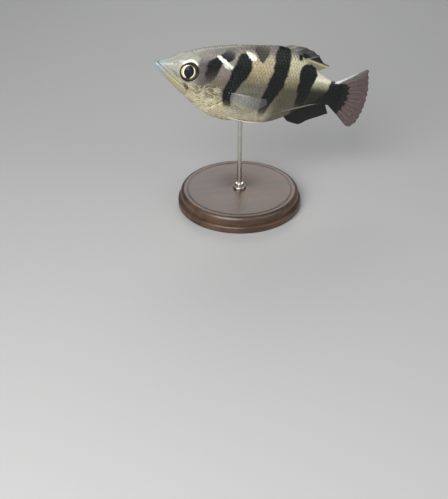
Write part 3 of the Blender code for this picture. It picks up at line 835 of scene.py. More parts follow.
def marking_mask(tree, station, height, softness, rows):
    """Where a marking is: its edges and strength by height are the channels of one ramp."""
    stops = [
        (by_height(level), (front / MARKING_LENGTH, rear / MARKING_LENGTH, strength))
        for level, front, rear, strength in rows
    ]
    parts = tree.nodes.new("ShaderNodeSeparateColor")
    tree.links.new(ramp(tree, height, stops), parts.inputs[0])
    front, rear = (product(tree, parts.outputs[i], MARKING_LENGTH) for i in range(2))
    inside = calc(
        tree, "MINIMUM", calc(tree, "SUBTRACT", station, front), calc(tree, "SUBTRACT", rear, station)
    )
    return product(tree, step_up(tree, inside, -softness, softness), parts.outputs[2])


def reach_from(tree, across, above, centre, squeeze=1.0):
    """Distance from a centre, of a place given by its two coordinates."""
    dx = product(tree, calc(tree, "SUBTRACT", across, centre[0]), squeeze)
    dy = calc(tree, "SUBTRACT", above, centre[1])
    return calc(tree, "SQRT", calc(tree, "ADD", product(tree, dx, dx), product(tree, dy, dy)))


def eye_rim(tree, across, above):
    """Where the painted highlight over the eye lies, a white crescent on its rim, and the dark margin
    round it.
    """
    reach = reach_from(tree, across, above, RIM_CENTRE, RIM_SQUEEZE)
    outer = reach_from(tree, across, above, CRESCENT_CENTRE)
    over = calc(tree, "MULTIPLY_ADD", across, CRESCENT_LEAN, above)
    crescent = product(
        tree,
        step_up(tree, over, *CRESCENT_LOW_EDGE),
        step_up(tree, outer, *CRESCENT_OUTER_EDGE),
        step_up(tree, reach, *CRESCENT_INNER_EDGE),
        step_up(tree, across, *CRESCENT_REAR_EDGE),
    )
    return crescent, step_up(tree, reach, *RIM_EDGE)


def straying(tree, axes):
    """How far the markings' edges stray, by broad and by fine noise."""
    stray = 0.0
    for scale, detail, reach in EDGE_NOISES:
        value = calc(tree, "SUBTRACT", noise(tree, axes, scale, detail), 0.5)
        stray = calc(tree, "MULTIPLY_ADD", value, reach, stray)
    return stray


def ground_and_shade(tree, axes, station, height):
    """The flank's colour under its markings, partly painted shade and highlight, a little cloudy and with
    a faint painted sheen of hues.
    """
    ground = None
    for start, end, stops in GROUND_AND_SHADE:
        here = ramp(tree, height, [(by_height(level), colour) for level, colour in stops])
        ground = here if ground is None else mixed(tree, step_up(tree, station, start, end), ground, here)
    cloudy = step_up(tree, noise(tree, axes, 0.8, 4.0, 0.6), 0.35, 0.65)
    ground = mixed(tree, 0.35, ground, mixed(tree, cloudy, *CLOUD_TINTS), "MULTIPLY")
    sheen = ramp(tree, noise(tree, axes, 0.55, 2.0), SHEEN_HUES)
    return mixed(tree, 0.55, ground, sheen, "MULTIPLY")


def cheek_marks(tree, axes, station, height_mm, ground):
    """Dark spots over the cheek and gill cover, and pale slanted creases in front, partly painted glints.
    """
    palette = colours()
    cheek = product(
        tree,
        step_up(tree, station, *CHEEK_FRONT),
        step_up(tree, station, *CHEEK_REAR),
        step_up(tree, height_mm, *CHEEK_TOP),
    )
    spots = step_up(tree, noise(tree, axes, 0.55, 3.0, 0.7), 0.56, 0.63)
    ground = mixed(tree, product(tree, spots, cheek, 0.65), ground, palette.cheek_spot)
    # The pale creases are partly painted glints of the silvery cheek
    slanted = noise(tree, stretched(tree, axes, (0.5, 0.5, 1.2), (0.0, 0.8, 0.0)), 0.45, 3.0, 0.6)
    crease_and_glint = step_up(tree, calc(tree, "ABSOLUTE", calc(tree, "SUBTRACT", slanted, 0.5)), 0.07, 0.01)
    crease_and_glint = product(tree, crease_and_glint, cheek, step_up(tree, station, *CREASE_REAR), 0.5)
    return mixed(tree, crease_and_glint, ground, palette.cheek_crease_and_glint)


def eye_marks(tree, parts, ground):
    """The dark rim of the eye and the painted highlight over it, a white crescent, as far as they lie on
    the skin.
    """
    palette = colours()
    across = calc(tree, "SUBTRACT", parts[0], EYE_CENTRE[0] - EYE_RING_SHIFT)
    across = calc(tree, "DIVIDE", across, math.cos(EYE_FORWARD))
    crescent, dark = eye_rim(tree, across, calc(tree, "SUBTRACT", parts[2], EYE_CENTRE[2]))
    ground = mixed(tree, dark, ground, palette.eye_ring)
    return mixed(tree, crescent, ground, palette.orbit_highlight)


def markings_group():
    """The fish's colour, and how silvery the skin is, at any place on it."""
    name = "Archerfish markings"
    if name in bpy.data.node_groups:
        return bpy.data.node_groups[name]
    tree = bpy.data.node_groups.new(name, "ShaderNodeTree")
    for label, kind in (("Colour", "NodeSocketColor"), ("Silver", "NodeSocketFloat")):
        tree.interface.new_socket(name=label, in_out="OUTPUT", socket_type=kind)
    axes = fish_axes(tree)
    parts = split(tree, axes)
    stray = straying(tree, axes)
    station = calc(tree, "ADD", parts[0], stray)
    height_mm = calc(tree, "ADD", parts[2], product(tree, stray, 0.4))
    height = calc(tree, "MULTIPLY_ADD", height_mm, 1 / MARKING_SPAN, by_height(0.0))
    colour = ground_and_shade(tree, axes, station, height)
    colour = cheek_marks(tree, axes, station, height_mm, colour)
    bar = 0.0
    palette = colours()
    for key, softness, rows in MARKINGS:
        mask = marking_mask(tree, station, height, softness, rows)
        colour = mixed(tree, mask, colour, getattr(palette, key))
        if key == "bar":
            bar = calc(tree, "MAXIMUM", bar, mask)
    colour = eye_marks(tree, parts, colour)
    low = calc(tree, "MULTIPLY_ADD", step_up(tree, parts[2], 14.0, -6.0), 0.4, 0.6)
    silver = product(tree, calc(tree, "SUBTRACT", 1.0, bar), low)
    result = tree.nodes.new("NodeGroupOutput")
    tree.links.new(colour, result.inputs[0])
    tree.links.new(silver, result.inputs[1])
    return tree


def markings(tree):
    """The shared markings' colour and silver, in a material."""
    made = tree.nodes.new("ShaderNodeGroup")
    made.node_tree = markings_group()
    return made.outputs


def new_material(name, **settings):
    """A material and its shader, with plain values set on the shader's own sockets."""
    made = bpy.data.materials.new(name)
    made.use_nodes = True
    shader = made.node_tree.nodes["Principled BSDF"]
    sockets = {entry.name.lower().replace(" ", "_"): entry for entry in shader.inputs}
    for key, value in settings.items():
        sockets[key].default_value = value
    return made, made.node_tree, shader


def bumped(tree, height, strength, distance, under=None):
    """A normal for a fine relief, alone or over another one."""
    inputs = {"Height": height, "Strength": strength, "Distance": distance}
    if under is not None:
        inputs["Normal"] = under
    return node(tree, "ShaderNodeBump", inputs)


def skin_material():
    """Wet, naked skin of the head: the markings, with fine pores and soft wrinkles."""
    made, tree, shader = new_material(
        "Wet skin", coat_weight=0.08, coat_roughness=0.16, specular_ior_level=0.2
    )
    colour, silver = markings(tree)
    axes = fish_axes(tree)
    freckle = noise(tree, axes, 3.5, 4.0, 0.6)
    tint = mixed(tree, step_up(tree, freckle, 0.35, 0.7), *FRECKLE_TINTS)
    tree.links.new(mixed(tree, 0.6, colour, tint, "MULTIPLY"), shader.inputs["Base Color"])
    tree.links.new(calc(tree, "MULTIPLY_ADD", freckle, 0.2, 0.32), shader.inputs["Roughness"])
    tree.links.new(product(tree, silver, 0.2), shader.inputs["Metallic"])
    pores = bumped(tree, node(tree, "ShaderNodeTexVoronoi", {"Vector": axes, "Scale": 2.6}), 0.25, 0.0001)
    wrinkles = bumped(tree, noise(tree, axes, 0.9, 5.0, 0.6), 0.5, 0.0002, pores)
    tree.links.new(wrinkles, shader.inputs["Normal"])
    return made


def scale_material():
    """Scales: the same markings, a little different from scale to scale, pale at the free edge, where the
    paint also offsets the shade of the step.
    """
    made, tree, shader = new_material(
        "Wet scales", coat_weight=0.08, coat_roughness=0.18, specular_ior_level=0.2
    )
    colour, silver = markings(tree)
    tone = node(tree, "ShaderNodeAttribute", out=2, attribute_name="tone")
    tailward = split(tree, node(tree, "ShaderNodeUVMap", uv_map="Scale"))[0]
    # The free edge is painted paler, partly to offset the shade under its step over the next scale
    edge = step_up(tree, tailward, 0.88, 1.0)
    shade = calc(tree, "MULTIPLY_ADD", tone, 0.16, 0.92)
    shade = product(tree, shade, calc(tree, "MULTIPLY_ADD", edge, 0.14, 1.0))
    tint = node(tree, "ShaderNodeCombineXYZ", {0: shade, 1: shade, 2: shade})
    tree.links.new(mixed(tree, 1.0, colour, tint, "MULTIPLY"), shader.inputs["Base Color"])
    tree.links.new(calc(tree, "MULTIPLY_ADD", tone, 0.16, 0.26), shader.inputs["Roughness"])
    tree.links.new(product(tree, silver, 0.38), shader.inputs["Metallic"])
    rings = calc(tree, "SINE", product(tree, tailward, 60.0))
    tree.links.new(bumped(tree, rings, 0.12, 0.00004), shader.inputs["Normal"])
    return made


def fin_material(name, alpha=1.0):
    """A rayed membrane: its painted colour, streaked along the rays, and its rays' joints."""
    made, tree, shader = new_material(
        name, coat_weight=0.05, coat_roughness=0.25, alpha=alpha, roughness=0.42,
        specular_ior_level=0.25,
    )
    paint = node(tree, "ShaderNodeAttribute", attribute_name="paint")
    along_root, outward, _ = split(tree, node(tree, "ShaderNodeUVMap", uv_map="Fin"))
    inputs = {0: product(tree, along_root, 90.0), 1: product(tree, outward, 9.0)}
    streaks = noise(tree, node(tree, "ShaderNodeCombineXYZ", inputs), 1.0, 3.0)
    tint = mixed(tree, step_up(tree, streaks, 0.3, 0.7), *FIN_TINTS)
    tree.links.new(mixed(tree, 1.0, paint, tint, "MULTIPLY"), shader.inputs["Base Color"])
    joints = calc(tree, "SINE", product(tree, outward, 170.0))
    tree.links.new(bumped(tree, joints, 0.2, 0.00006), shader.inputs["Normal"])
    return made


def eye_material():
    """A wet eye: blue-black pupil, pale gold iris open at the lower rear, and dark ring."""
    made, tree, shader = new_material(
        "Wet eye", roughness=0.35, coat_weight=0.16, coat_roughness=0.03, coat_ior=1.4,
        specular_ior_level=0.1,
    )
    palette = colours()
    dark, gold = palette.eye_ring, palette.iris
    dull = tuple(c * 0.55 for c in gold)
    own = node(tree, "ShaderNodeUVMap", uv_map="Eye")
    centre = (-EYE_MAP_WIDTH / 2, -EYE_MAP_WIDTH / 2, 0.0)
    own = stretched(tree, own, (EYE_MAP_WIDTH, EYE_MAP_WIDTH, 1.0), shift=centre)
    across, above, _ = split(tree, own)
    from_iris = reach_from(tree, across, above, IRIS_CENTRE)
    from_pupil = reach_from(tree, across, above, PUPIL_CENTRE, PUPIL_SQUEEZE)
    turn = product(tree, calc(tree, "ARCTAN2", above, across), 9.0)
    fibre = noise(tree, node(tree, "ShaderNodeCombineXYZ", {0: turn, 1: from_pupil}), 1.6, 3.0)

    ring = mixed(tree, step_up(tree, fibre, 0.3, 0.7), dull, gold)
    ring = mixed(tree, product(tree, step_up(tree, across, 1.0, 2.6), 0.7), ring, dull)
    ring = mixed(tree, step_up(tree, from_pupil, *IRIS_BRIGHT_EDGE), ring, palette.iris_bright)
    ring = mixed(tree, step_up(tree, from_iris, *IRIS_EDGE), ring, dark)
    gap = product(
        tree,
        step_up(tree, above, -2.0, -2.7),
        step_up(tree, across, -1.2, -0.4),
        step_up(tree, across, 1.9, 1.1),
    )
    ring = mixed(tree, gap, ring, dark)
    lower_rear = step_up(tree, calc(tree, "SUBTRACT", across, above), 3.0, 6.0)
    flecks = product(tree, lower_rear, step_up(tree, fibre, 0.5, 0.65), 0.6)
    ring = mixed(tree, flecks, ring, dull)

    black = step_up(tree, from_pupil, *PUPIL_BLACK_EDGE)
    pupil = mixed(tree, black, palette.pupil, palette.pupil_black)
    whole = mixed(tree, step_up(tree, from_pupil, *PUPIL_EDGE), pupil, ring)
    # The painted highlight on the rim over the eye, and the dark margin round it
    crescent, margin = eye_rim(tree, across, above)
    whole = mixed(tree, margin, palette.eye_margin, whole)
    whole = mixed(tree, crescent, whole, palette.orbit_highlight)
    tree.links.new(whole, shader.inputs["Base Color"])
    tree.links.new(bumped(tree, fibre, 0.25, 0.0001), shader.inputs["Normal"])
    return made


def wood_material():
    """Dark turned wood: long growth rings seen on the face, with fine pores."""
    stand = bpy.context.scene.fish_stand
    made, tree, shader = new_material("Turned wood", coat_weight=0.25, coat_roughness=0.25)
    place = node(tree, "ShaderNodeTexCoord", out=3)
    along_grain = (0.0, 0.12, 0.5)
    grain = stretched(tree, place, (14.0, 110.0, 60.0), along_grain, (0.09, 0.0, 0.02))
    rings = noise(tree, grain, 1.0, 5.0, 0.6)
    pores = noise(tree, stretched(tree, place, (300.0, 2600.0, 2600.0), along_grain), 1.0, 2.0)
    dark, light = stand.wood_dark, stand.wood_light
    colour = mixed(tree, step_up(tree, rings, 0.35, 0.68), dark, light)
    colour = mixed(tree, step_up(tree, pores, 0.55, 0.8), colour, tuple(c * 0.4 for c in dark))
    tree.links.new(colour, shader.inputs["Base Color"])
    tree.links.new(calc(tree, "MULTIPLY_ADD", rings, 0.2, 0.3), shader.inputs["Roughness"])
    tree.links.new(bumped(tree, pores, 0.25, 0.0002), shader.inputs["Normal"])
    return made


def steel_material():
    """Satin steel, with fine turning marks round the rod."""
    stand = bpy.context.scene.fish_stand
    made, tree, shader = new_material("Satin steel", metallic=1.0)
    place = node(tree, "ShaderNodeTexCoord", out=3)
    turning = noise(tree, stretched(tree, place, (60.0, 60.0, 9000.0)), 1.0, 2.0)
    dull = step_up(tree, noise(tree, place, 400.0, 3.0), 0.3, 0.7)
    colour = mixed(tree, dull, stand.steel, tuple(c * 0.86 for c in stand.steel))
    tree.links.new(colour, shader.inputs["Base Color"])
    tree.links.new(calc(tree, "MULTIPLY_ADD", turning, 0.18, 0.2), shader.inputs["Roughness"])
    tree.links.new(bumped(tree, turning, 0.1, 0.0001), shader.inputs["Normal"])
    return made


def start_piece(name):
    """The primitive that was just added, under its own name."""
    made = bpy.context.object
    made.name = name
    made.data.name = name
    return made


def grid(name, columns, rows):
    """A flat grid from 0 to 1 both ways, to be shaped into a piece."""
    bpy.ops.object.select_all(action="DESELECT")
    bpy.ops.mesh.primitive_grid_add(x_subdivisions=columns, y_subdivisions=rows, size=1.0)
    made = start_piece(name)
    points = read_points(made.data)
    points[:, :2] = points[:, :2] - points[:, :2].min(0)
    write_points(made.data, points)
    return made


def read_points(mesh):
    """The mesh's points, one in a row."""
    points = np.empty(len(mesh.vertices) * 3)
    mesh.vertices.foreach_get("co", points)
    return points.reshape(-1, 3)


def write_points(mesh, points):
    """Moves the mesh's points to new places."""
    mesh.vertices.foreach_set("co", np.asarray(points, np.float32).ravel())
    mesh.update()


def write_uv(mesh, name, per_point):
    """A UV map with one place for each point of the mesh."""
    layer = mesh.uv_layers.new(name=name)
    corners = np.empty(len(mesh.loops), np.int32)
    mesh.loops.foreach_get("vertex_index", corners)
    layer.data.foreach_set("uv", np.asarray(per_point, np.float32)[corners].ravel())


def write_value(mesh, name, values, kind="FLOAT"):
    """A number, or a colour of four, for each point of the mesh."""
    layer = mesh.attributes.new(name, kind, "POINT")
    field = "value" if kind == "FLOAT" else "color"
    layer.data.foreach_set(field, np.asarray(values, np.float32).ravel())


def subdivide_where(made, wanted):
    """Cuts the faces in four where the middle of the face is wanted."""
    bpy.ops.object.mode_set(mode="EDIT")
    bpy.ops.mesh.select_mode(type="FACE")
    bpy.ops.mesh.select_all(action="DESELECT")
    shape = bmesh.from_edit_mesh(made.data)
    faces = list(shape.faces)
    middles = np.array([face.calc_center_bounds()[:2] for face in faces])
    for face, pick in zip(faces, wanted(middles[:, 0], middles[:, 1])):
        face.select_set(bool(pick))
    bmesh.update_edit_mesh(made.data)
    bpy.ops.mesh.subdivide(number_cuts=1)
    bpy.ops.object.mode_set(mode="OBJECT")


def apply_modifier(made, kind, **settings):
    """Adds a modifier with its settings and applies it."""
    bpy.context.view_layer.objects.active = made
    step = made.modifiers.new(kind.title(), kind)
    for name, value in settings.items():
        setattr(step, name, value)
    bpy.ops.object.modifier_apply(modifier=step.name)


def tidy_normals(made, merge=0.0):
    """Merges doubles, if asked, and turns the faces outwards."""
    bpy.context.view_layer.objects.active = made
    bpy.ops.object.mode_set(mode="EDIT")
    bpy.ops.mesh.select_all(action="SELECT")
    if merge:
        bpy.ops.mesh.remove_doubles(threshold=merge)
    bpy.ops.mesh.normals_make_consistent(inside=False)
    bpy.ops.object.mode_set(mode="OBJECT")


def finish_piece(made, material, nodes=(), angle=None):
    """Smooth shading, finish, and the place of the piece in the frame."""
    bpy.ops.object.select_all(action="DESELECT")
    made.select_set(True)
    bpy.context.view_layer.objects.active = made
    if angle is None:
        bpy.ops.object.shade_smooth()
    else:
        bpy.ops.object.shade_smooth_by_angle(angle=angle)
    made.data.materials.clear()
    made.data.materials.append(material)
    if nodes:
        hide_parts(*nodes)
    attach(made, "root")


class ARCHERFISH_OT_skin(bpy.types.Operator):
    """Wraps a flat grid round the body, with its mouth, eye sockets, nostrils and gill slits"""

    bl_idname = "archerfish.skin"
    bl_label = "Skin"

    def execute(self, context):
        s = sizes()
        made = grid("fish_skin", round(SKIN_END / s.skin_step), round(float(GIRTH.max()) / s.skin_step))
        for reach in FOLD_REACHES:
            subdivide_where(made, lambda x, y: self.near_fold(x * SKIN_END, y, reach))
        flat = read_points(made.data)
        station, share = flat[:, 0] * SKIN_END, flat[:, 1]
        base = looked_up(PLACES, station, share)
        lift = folds(base[:, 0], base[:, 2]) - s.skin_depth * ease(station, -0.2, 1.5)
        places = on_body(station, share, lift)
        snout, end = flat[:, 0] < ON_EDGE, flat[:, 0] > 1 - ON_EDGE
        places[snout] = places[snout].mean(0)
        middle = snout | end | (share < ON_EDGE) | (share > 1 - ON_EDGE)
        places[:, 1] = np.where(middle, 0.0, np.maximum(places[:, 1], LEAST_HALF_WIDTH))
        write_uv(made.data, "OFBake", unwrapped(station, share, 1.0))
        write_points(made.data, to_world(places))
        tidy_normals(made, MERGE_DISTANCE)
        apply_modifier(
            made, "MIRROR", use_axis=(False, True, False), use_mirror_merge=True,
            merge_threshold=MERGE_DISTANCE, use_mirror_v=True,
        )
        tidy_normals(made)
        finish_piece(made, skin_material(), FLESH)
        return {"FINISHED"}

    def near_fold(self, station, share, reach):
        """Where the skin folds sharply enough to need closer points."""
        place = looked_up(PLACES, station, share)
        station, height = place[:, 0], place[:, 2]
        near = np.abs(eye_distance(station, height) - EYE_RIM) < reach
        for line in (MOUTH_LINE, JAW_GROOVE, MAXILLA_GROOVE, CHEEK_PLATE, GILL_EDGE):
            near |= from_line(station, height, line)[0] < reach
        for x, z, radius in NOSTRILS:
            near |= np.hypot(station - x, height - z) < reach + radius
        return near


def unwrapped(station, share, side):
    """The skin laid flat: along it, and round it from the middle of the back."""
    round_body = share * girth_at(station) / BAKE_LENGTH
    return np.stack(((station + 2) / BAKE_LENGTH, 0.5 + side * round_body), -1)


def scale_form():
    """One scale as a closed form: points from -1 to 1 along and across, 0 or 1 deep."""
    made = grid("scale_form", 5, 4)
    p, q = (read_points(made.data)[:, :2] * 2 - 1).T
    width = np.where(p > 0, np.sqrt(1 - 0.80 * np.abs(p) ** 2.4), 1 - 0.18 * p * p)
    write_points(made.data, np.stack((p - 0.24 * q * q * np.maximum(p, 0), q * width, 0 * p), -1))
    apply_modifier(made, "SOLIDIFY", thickness=1.0, offset=1.0, use_even_offset=False)
    tidy_normals(made)
    points = read_points(made.data)
    faces = [tuple(face.vertices) for face in made.data.polygons]
    bpy.data.objects.remove(made)
    points[:, 2] -= points[:, 2].min()
    return points, faces


def scale_spacing(station):
    """How far apart scales are: small on the head, largest at mid body, small at the tail."""
    s = sizes()
    knots = (
        (12.0, s.head_scale), (35.0, s.head_scale * 1.15), (44.0, s.body_scale), (66.0, s.body_scale),
        (90.0, 0.5 * (s.body_scale + s.tail_scale)), (SKIN_END, s.tail_scale),
    )
    return along(knots, station)


def scale_places():
    """Roots of the scales on one side: station and share of the girth."""
    stations = [FIRST_SCALE]
    while stations[-1] < SKIN_END - 1.2:
        stations.append(stations[-1] + float(scale_spacing(stations[-1])))
    rows = np.arange(-SCALE_ROWS, SCALE_ROWS + 1)
    station = np.repeat(np.array(stations)[None, :], len(rows), 0)
    station = station + np.where(rows[:, None] % 2, 0.5, 0.0) * scale_spacing(station)
    share = MIDDLE_ROW + rows[:, None] * ROW_GAP * scale_spacing(station) / girth_at(station)
    keep = (share > -0.005) & (share < 1.005) & (station < SKIN_END - BARE_END)
    station, share = station[keep], share[keep]
    height = looked_up(PLACES, station, share)[:, 2]
    _, side, _ = from_line(station, height, NECK_SCALES, 1)
    keep = (side > 0) & (eye_distance(station, height) > BARE_EYE_REACH)
    away, side, part = from_line(station, height, GILL_EDGE)
    start, end = BARE_SLIT_PART
    keep &= ~((away < BARE_SLIT_REACH) & (side > 0) & (part > start) & (part < end))
    return station[keep], share[keep]


class ARCHERFISH_OT_scales(bpy.types.Operator):
    """Lays overlapping solid scales over the skin, in rows along the body"""

    bl_idname = "archerfish.scales"
    bl_label = "Scales"

    def execute(self, context):
        form, faces = scale_form()
        station, share = scale_places()
        finish = scale_material()
        random = np.random.default_rng(SCALE_SEED)
        for side, word in ((-1, "left"), (1, "right")):
            tone = random.random(len(station))
            jitter = random.normal(0.0, 1.0, (2, len(station)))
            made = self.lay(f"scales_{word}", form, faces, station, share, side, tone, jitter)
            finish_piece(made, finish)
        return {"FINISHED"}

    def lay(self, name, form, faces, station, share, side, tone, jitter):
        """Copies of the one scale, each bent to the body at its place and joined in one mesh."""
        s = sizes()
        p, q, deep = form.T[:, None, :]
        spacing = scale_spacing(station)[:, None]
        at = station[:, None] + spacing * (SCALE_LENGTH * p + SCALE_STRAY * jitter[0][:, None])
        round_body = share[:, None] + spacing * SCALE_WIDTH * q / girth_at(station)[:, None]
        rise = (0.5 * p + 0.5) * (s.scale_rise + SCALE_RISE_STRAY * jitter[1][:, None])
        rise = rise - 0.03 * q ** 2 * (p > -0.9)
        small = np.minimum(spacing / s.body_scale, 1.0)
        lift = (rise + deep * s.scale_thickness) * (0.45 + 0.55 * small)
        flat = looked_up(PLACES, at, np.clip(round_body, 0, 1))
        lift = lift + folds(flat[..., 0], flat[..., 2]) - s.skin_depth
        places = on_body(at, round_body, lift)
        places[..., 1] *= side
        starts = range(0, len(station) * len(form), len(form))
        order = 1 if side > 0 else -1
        rings = [tuple(start + i for i in face[::order]) for start in starts for face in faces]
        mesh = bpy.data.meshes.new(name)
        mesh.from_pydata(to_world(places).reshape(-1, 3), [], rings)
        made = bpy.data.objects.new(name, mesh)
        bpy.context.collection.objects.link(made)
        own = form[:, :2]
        root = unwrapped(station, share, side)[:, None, :]
        patch = own * (1, side) * BAKE_PATCH / 2
        write_uv(mesh, "OFBake", (root + patch[None]).reshape(-1, 2))
        write_uv(mesh, "Scale", np.tile(own * 0.5 + 0.5, (len(station), 1)))
        write_value(mesh, "tone", np.repeat(tone, len(form)))
        return made


class ARCHERFISH_OT_eyes(bpy.types.Operator):
    """Shapes each eye from a sphere: a clear-coated dome in a dark ring, flush with the skin"""

    bl_idname = "archerfish.eyes"
    bl_label = "Eyes"

    def execute(self, context):
        finish = eye_material()
        for side, word in ((-1, "left"), (1, "right")):
            bpy.ops.object.select_all(action="DESELECT")
            bpy.ops.mesh.primitive_uv_sphere_add(segments=96, ring_count=72, radius=1.0)
            made = start_piece(f"wet_eye_{word}")
            x, y, z = read_points(made.data).T
            turn = np.arctan2(y, x)
            polar = np.arccos(np.clip(z, -1, 1)) / (math.pi / 2)
            rim = EYE_RIM + EYE_LAP
            reach = rim * np.where(polar <= 1, polar, 2 - polar)
            middle = np.array(EYE_RIM_CENTRE)[:, None]
            out = np.stack((np.cos(turn), np.sin(turn)))
            level = self.skin_level(*(middle + rim * out)) - sizes().skin_depth - EYE_TUCK
            dome = EYE_HALF_DEPTH * np.sqrt(np.clip(1 - (reach / EYE_RADIUS) ** 2, 0, 1))
            front = dome + (level - dome) * ease(reach, CORNEA_RADIUS, rim - 0.25)
            front = front - 0.5 * ease(reach, rim - 0.35, rim) ** 2 + CORNEA_RISE * hump(reach, 2.9)
            back = level - 0.5 - EYE_BACK_DEPTH * np.sqrt(np.clip(1 - (reach / rim) ** 2, 0, 1))
            height = np.where(polar <= 1, front, back)
            local = np.stack((*(middle + reach * out), height), -1)
            write_uv(made.data, "Eye", local[:, :2] / EYE_MAP_WIDTH + 0.5)
            write_points(made.data, to_world(self.placed(local, side)))
            tidy_normals(made)
            finish_piece(made, finish, (f"eye_{word}",))
        return {"FINISHED"}

    def placed(self, local, side):
        """Fish places of an eye's own: tailward and up across its disc, and height over it."""
        c, s = math.cos(EYE_FORWARD), math.sin(EYE_FORWARD)
        x, z, out = local.T
        tailward, across = EYE_CENTRE[0] + x * c - out * s, EYE_CENTRE[1] + x * s + out * c
        return np.stack((tailward, side * across, EYE_CENTRE[2] + z), -1)

    def skin_level(self, x, z):
        """How high over the eye's disc the head's side is, at places on the disc."""
        c, s = math.cos(EYE_FORWARD), math.sin(EYE_FORWARD)
        out = np.full(np.shape(x), 2.0)
        for _ in range(6):
            side = flank(EYE_CENTRE[0] + x * c - out * s, EYE_CENTRE[2] + z)
            out = (side - EYE_CENTRE[1] - x * s) / c
        return out


def smooth_line(points):
    """Places along a smooth line through a few points, by share of its length."""
    places = np.array(points, float)
    steps = np.linalg.norm(np.diff(places, axis=0), axis=1)
    shares = np.concatenate(([0], np.cumsum(steps))) / steps.sum()
    return lambda u: np.stack([along(list(zip(shares, places[:, k])), u) for k in range(3)], -1)


def between(ends, u):
    """The numbers of a place from one end to the other, by share of the way."""
    return [first + (last - first) * u for first, last in zip(*ends)]


def on_outline(line, ends, inward):
    """A fin's root on the back or belly, sunk into the body."""

    def root(u):
        station = ends[0] + (ends[1] - ends[0]) * u
        return np.stack((station, 0 * u, along(line, station) + inward), -1)

    return root


def ray_profile(u, v, rays, branch, spines=0):
    """How strongly a ray shows: 1 on a ray, which forks twice, and 0 between rays."""
    x = u * (rays - 1)
    nearest = np.round(x)
    off = x - nearest
    forks = np.where(nearest < spines, 0.0, branch)
    first = FORK_SPREADS[0] * forks * ease(v, 0.35, 0.95)
    second = FORK_SPREADS[1] * forks * ease(v, 0.65, 1.0)
    width = RAY_WIDTH - 0.09 * forks * ease(v, 0.3, 0.9)
    shows = np.zeros_like(u)
    for a in (-1, 1):
        for b in (-1, 1):
            shows = np.maximum(shows, hump(off - a * first - b * second, width))
    return shows, off


def rayed_fin(
    name, build, root, edge, finish, nodes, paint,
    branch=1.0, spines=0, wave=0.0, rows=56, fray=0.02,
):
    """A fin from its root line to its free edge: a thin membrane over rays that fork."""
    rays, base, relief = build
    made = grid(name, (rays - 1) * COLUMNS_PER_RAY, rows)
    u, v, _ = read_points(made.data).T
    shows, off = ray_profile(u, v, rays, branch, spines)
    start, end = root(u), edge(u)
    low, high = np.clip(u - 0.02, 0, 1), np.clip(u + 0.02, 0, 1)
    normal = np.cross(root(high) + edge(high) - root(low) - edge(low), end - start)
    normal /= np.linalg.norm(normal, axis=1, keepdims=True)
    uneven = 0.5 + 0.5 * np.sin(u * 37.0) * np.sin(u * 91.0 + 1.0)
    reach = v * (1 - fray * (np.sin(math.pi * off) ** 2 + 0.5 * uneven) * ease(v, 0.4, 1.0))
    sway = wave * np.sin(math.pi * (u * 1.3 + v)) * v + 0.05 * np.sin(u * 23.0) * v
    places = start + (end - start) * reach[:, None] + normal * sway[:, None]
    depth = sizes().membrane * (1 - 0.35 * v) + base * (1 - ease(v, 0.0, 0.3))
    depth = depth + shows * relief * (1 - 0.65 * v) * ease(v, 0.04, 0.3)
    write_uv(made.data, "Fin", np.stack((u, v), -1))
    rgba = np.concatenate((paint(u, v, shows, places), np.ones((len(u), 1))), 1)
    write_value(made.data, "paint", rgba, "FLOAT_COLOR")
    write_points(made.data, to_world(places))
    thickest = float(depth.max())
    group = made.vertex_groups.new(name="depth")
    for i, weight in enumerate(depth / thickest):
        group.add((i,), float(weight), "REPLACE")
    apply_modifier(
        made, "SOLIDIFY", thickness=thickest * MM, offset=0.0, use_even_offset=False,
        vertex_group="depth",
    )
    made.vertex_groups.clear()
    tidy_normals(made)
    finish_piece(made, finish, nodes)


def blended(first, second, share):
    """Colours of two kinds, by share, for each point."""
    share = np.asarray(share)[:, None]
    return np.asarray(first, float) * (1 - share) + np.asarray(second, float) * share


def paint_spines(u, v, ray, places):
    """Tan in front and grey behind, with black under a falling line."""
    c = colours()
    station, height = places[:, 0], places[:, 2]
    line = 20.6 - 0.42 * np.maximum(station - 76.0, 0.0)
    black = ease(height, line + 0.5, line - 0.5) * ease(station, 75.5, 78.0)
    strip = blended(c.spine_tan, c.spine_grey, ease(station, 70.0, 78.0))
    return blended(strip * (0.8 + 0.4 * ray)[:, None], c.fin_black, black)


def paint_soft_fin(u, v, ray, places):
    """Black over a slanting line, yellow at it and pale under it."""
    c = colours()
    over = places[:, 2] - 17.5 + 0.17 * (places[:, 0] - 77.4)
    flesh = blended(c.fin_tip, c.fin_yellow, hump(over + 0.4, 0.6))
    return blended(flesh, paint_black(u, v, ray, places), ease(over, 0.0, 0.5))


def paint_black(u, v, ray, places):
    """Black, a little greyer on the rays."""
    c = colours()
    return blended(c.fin_black, c.spine_grey, ray * 0.12)


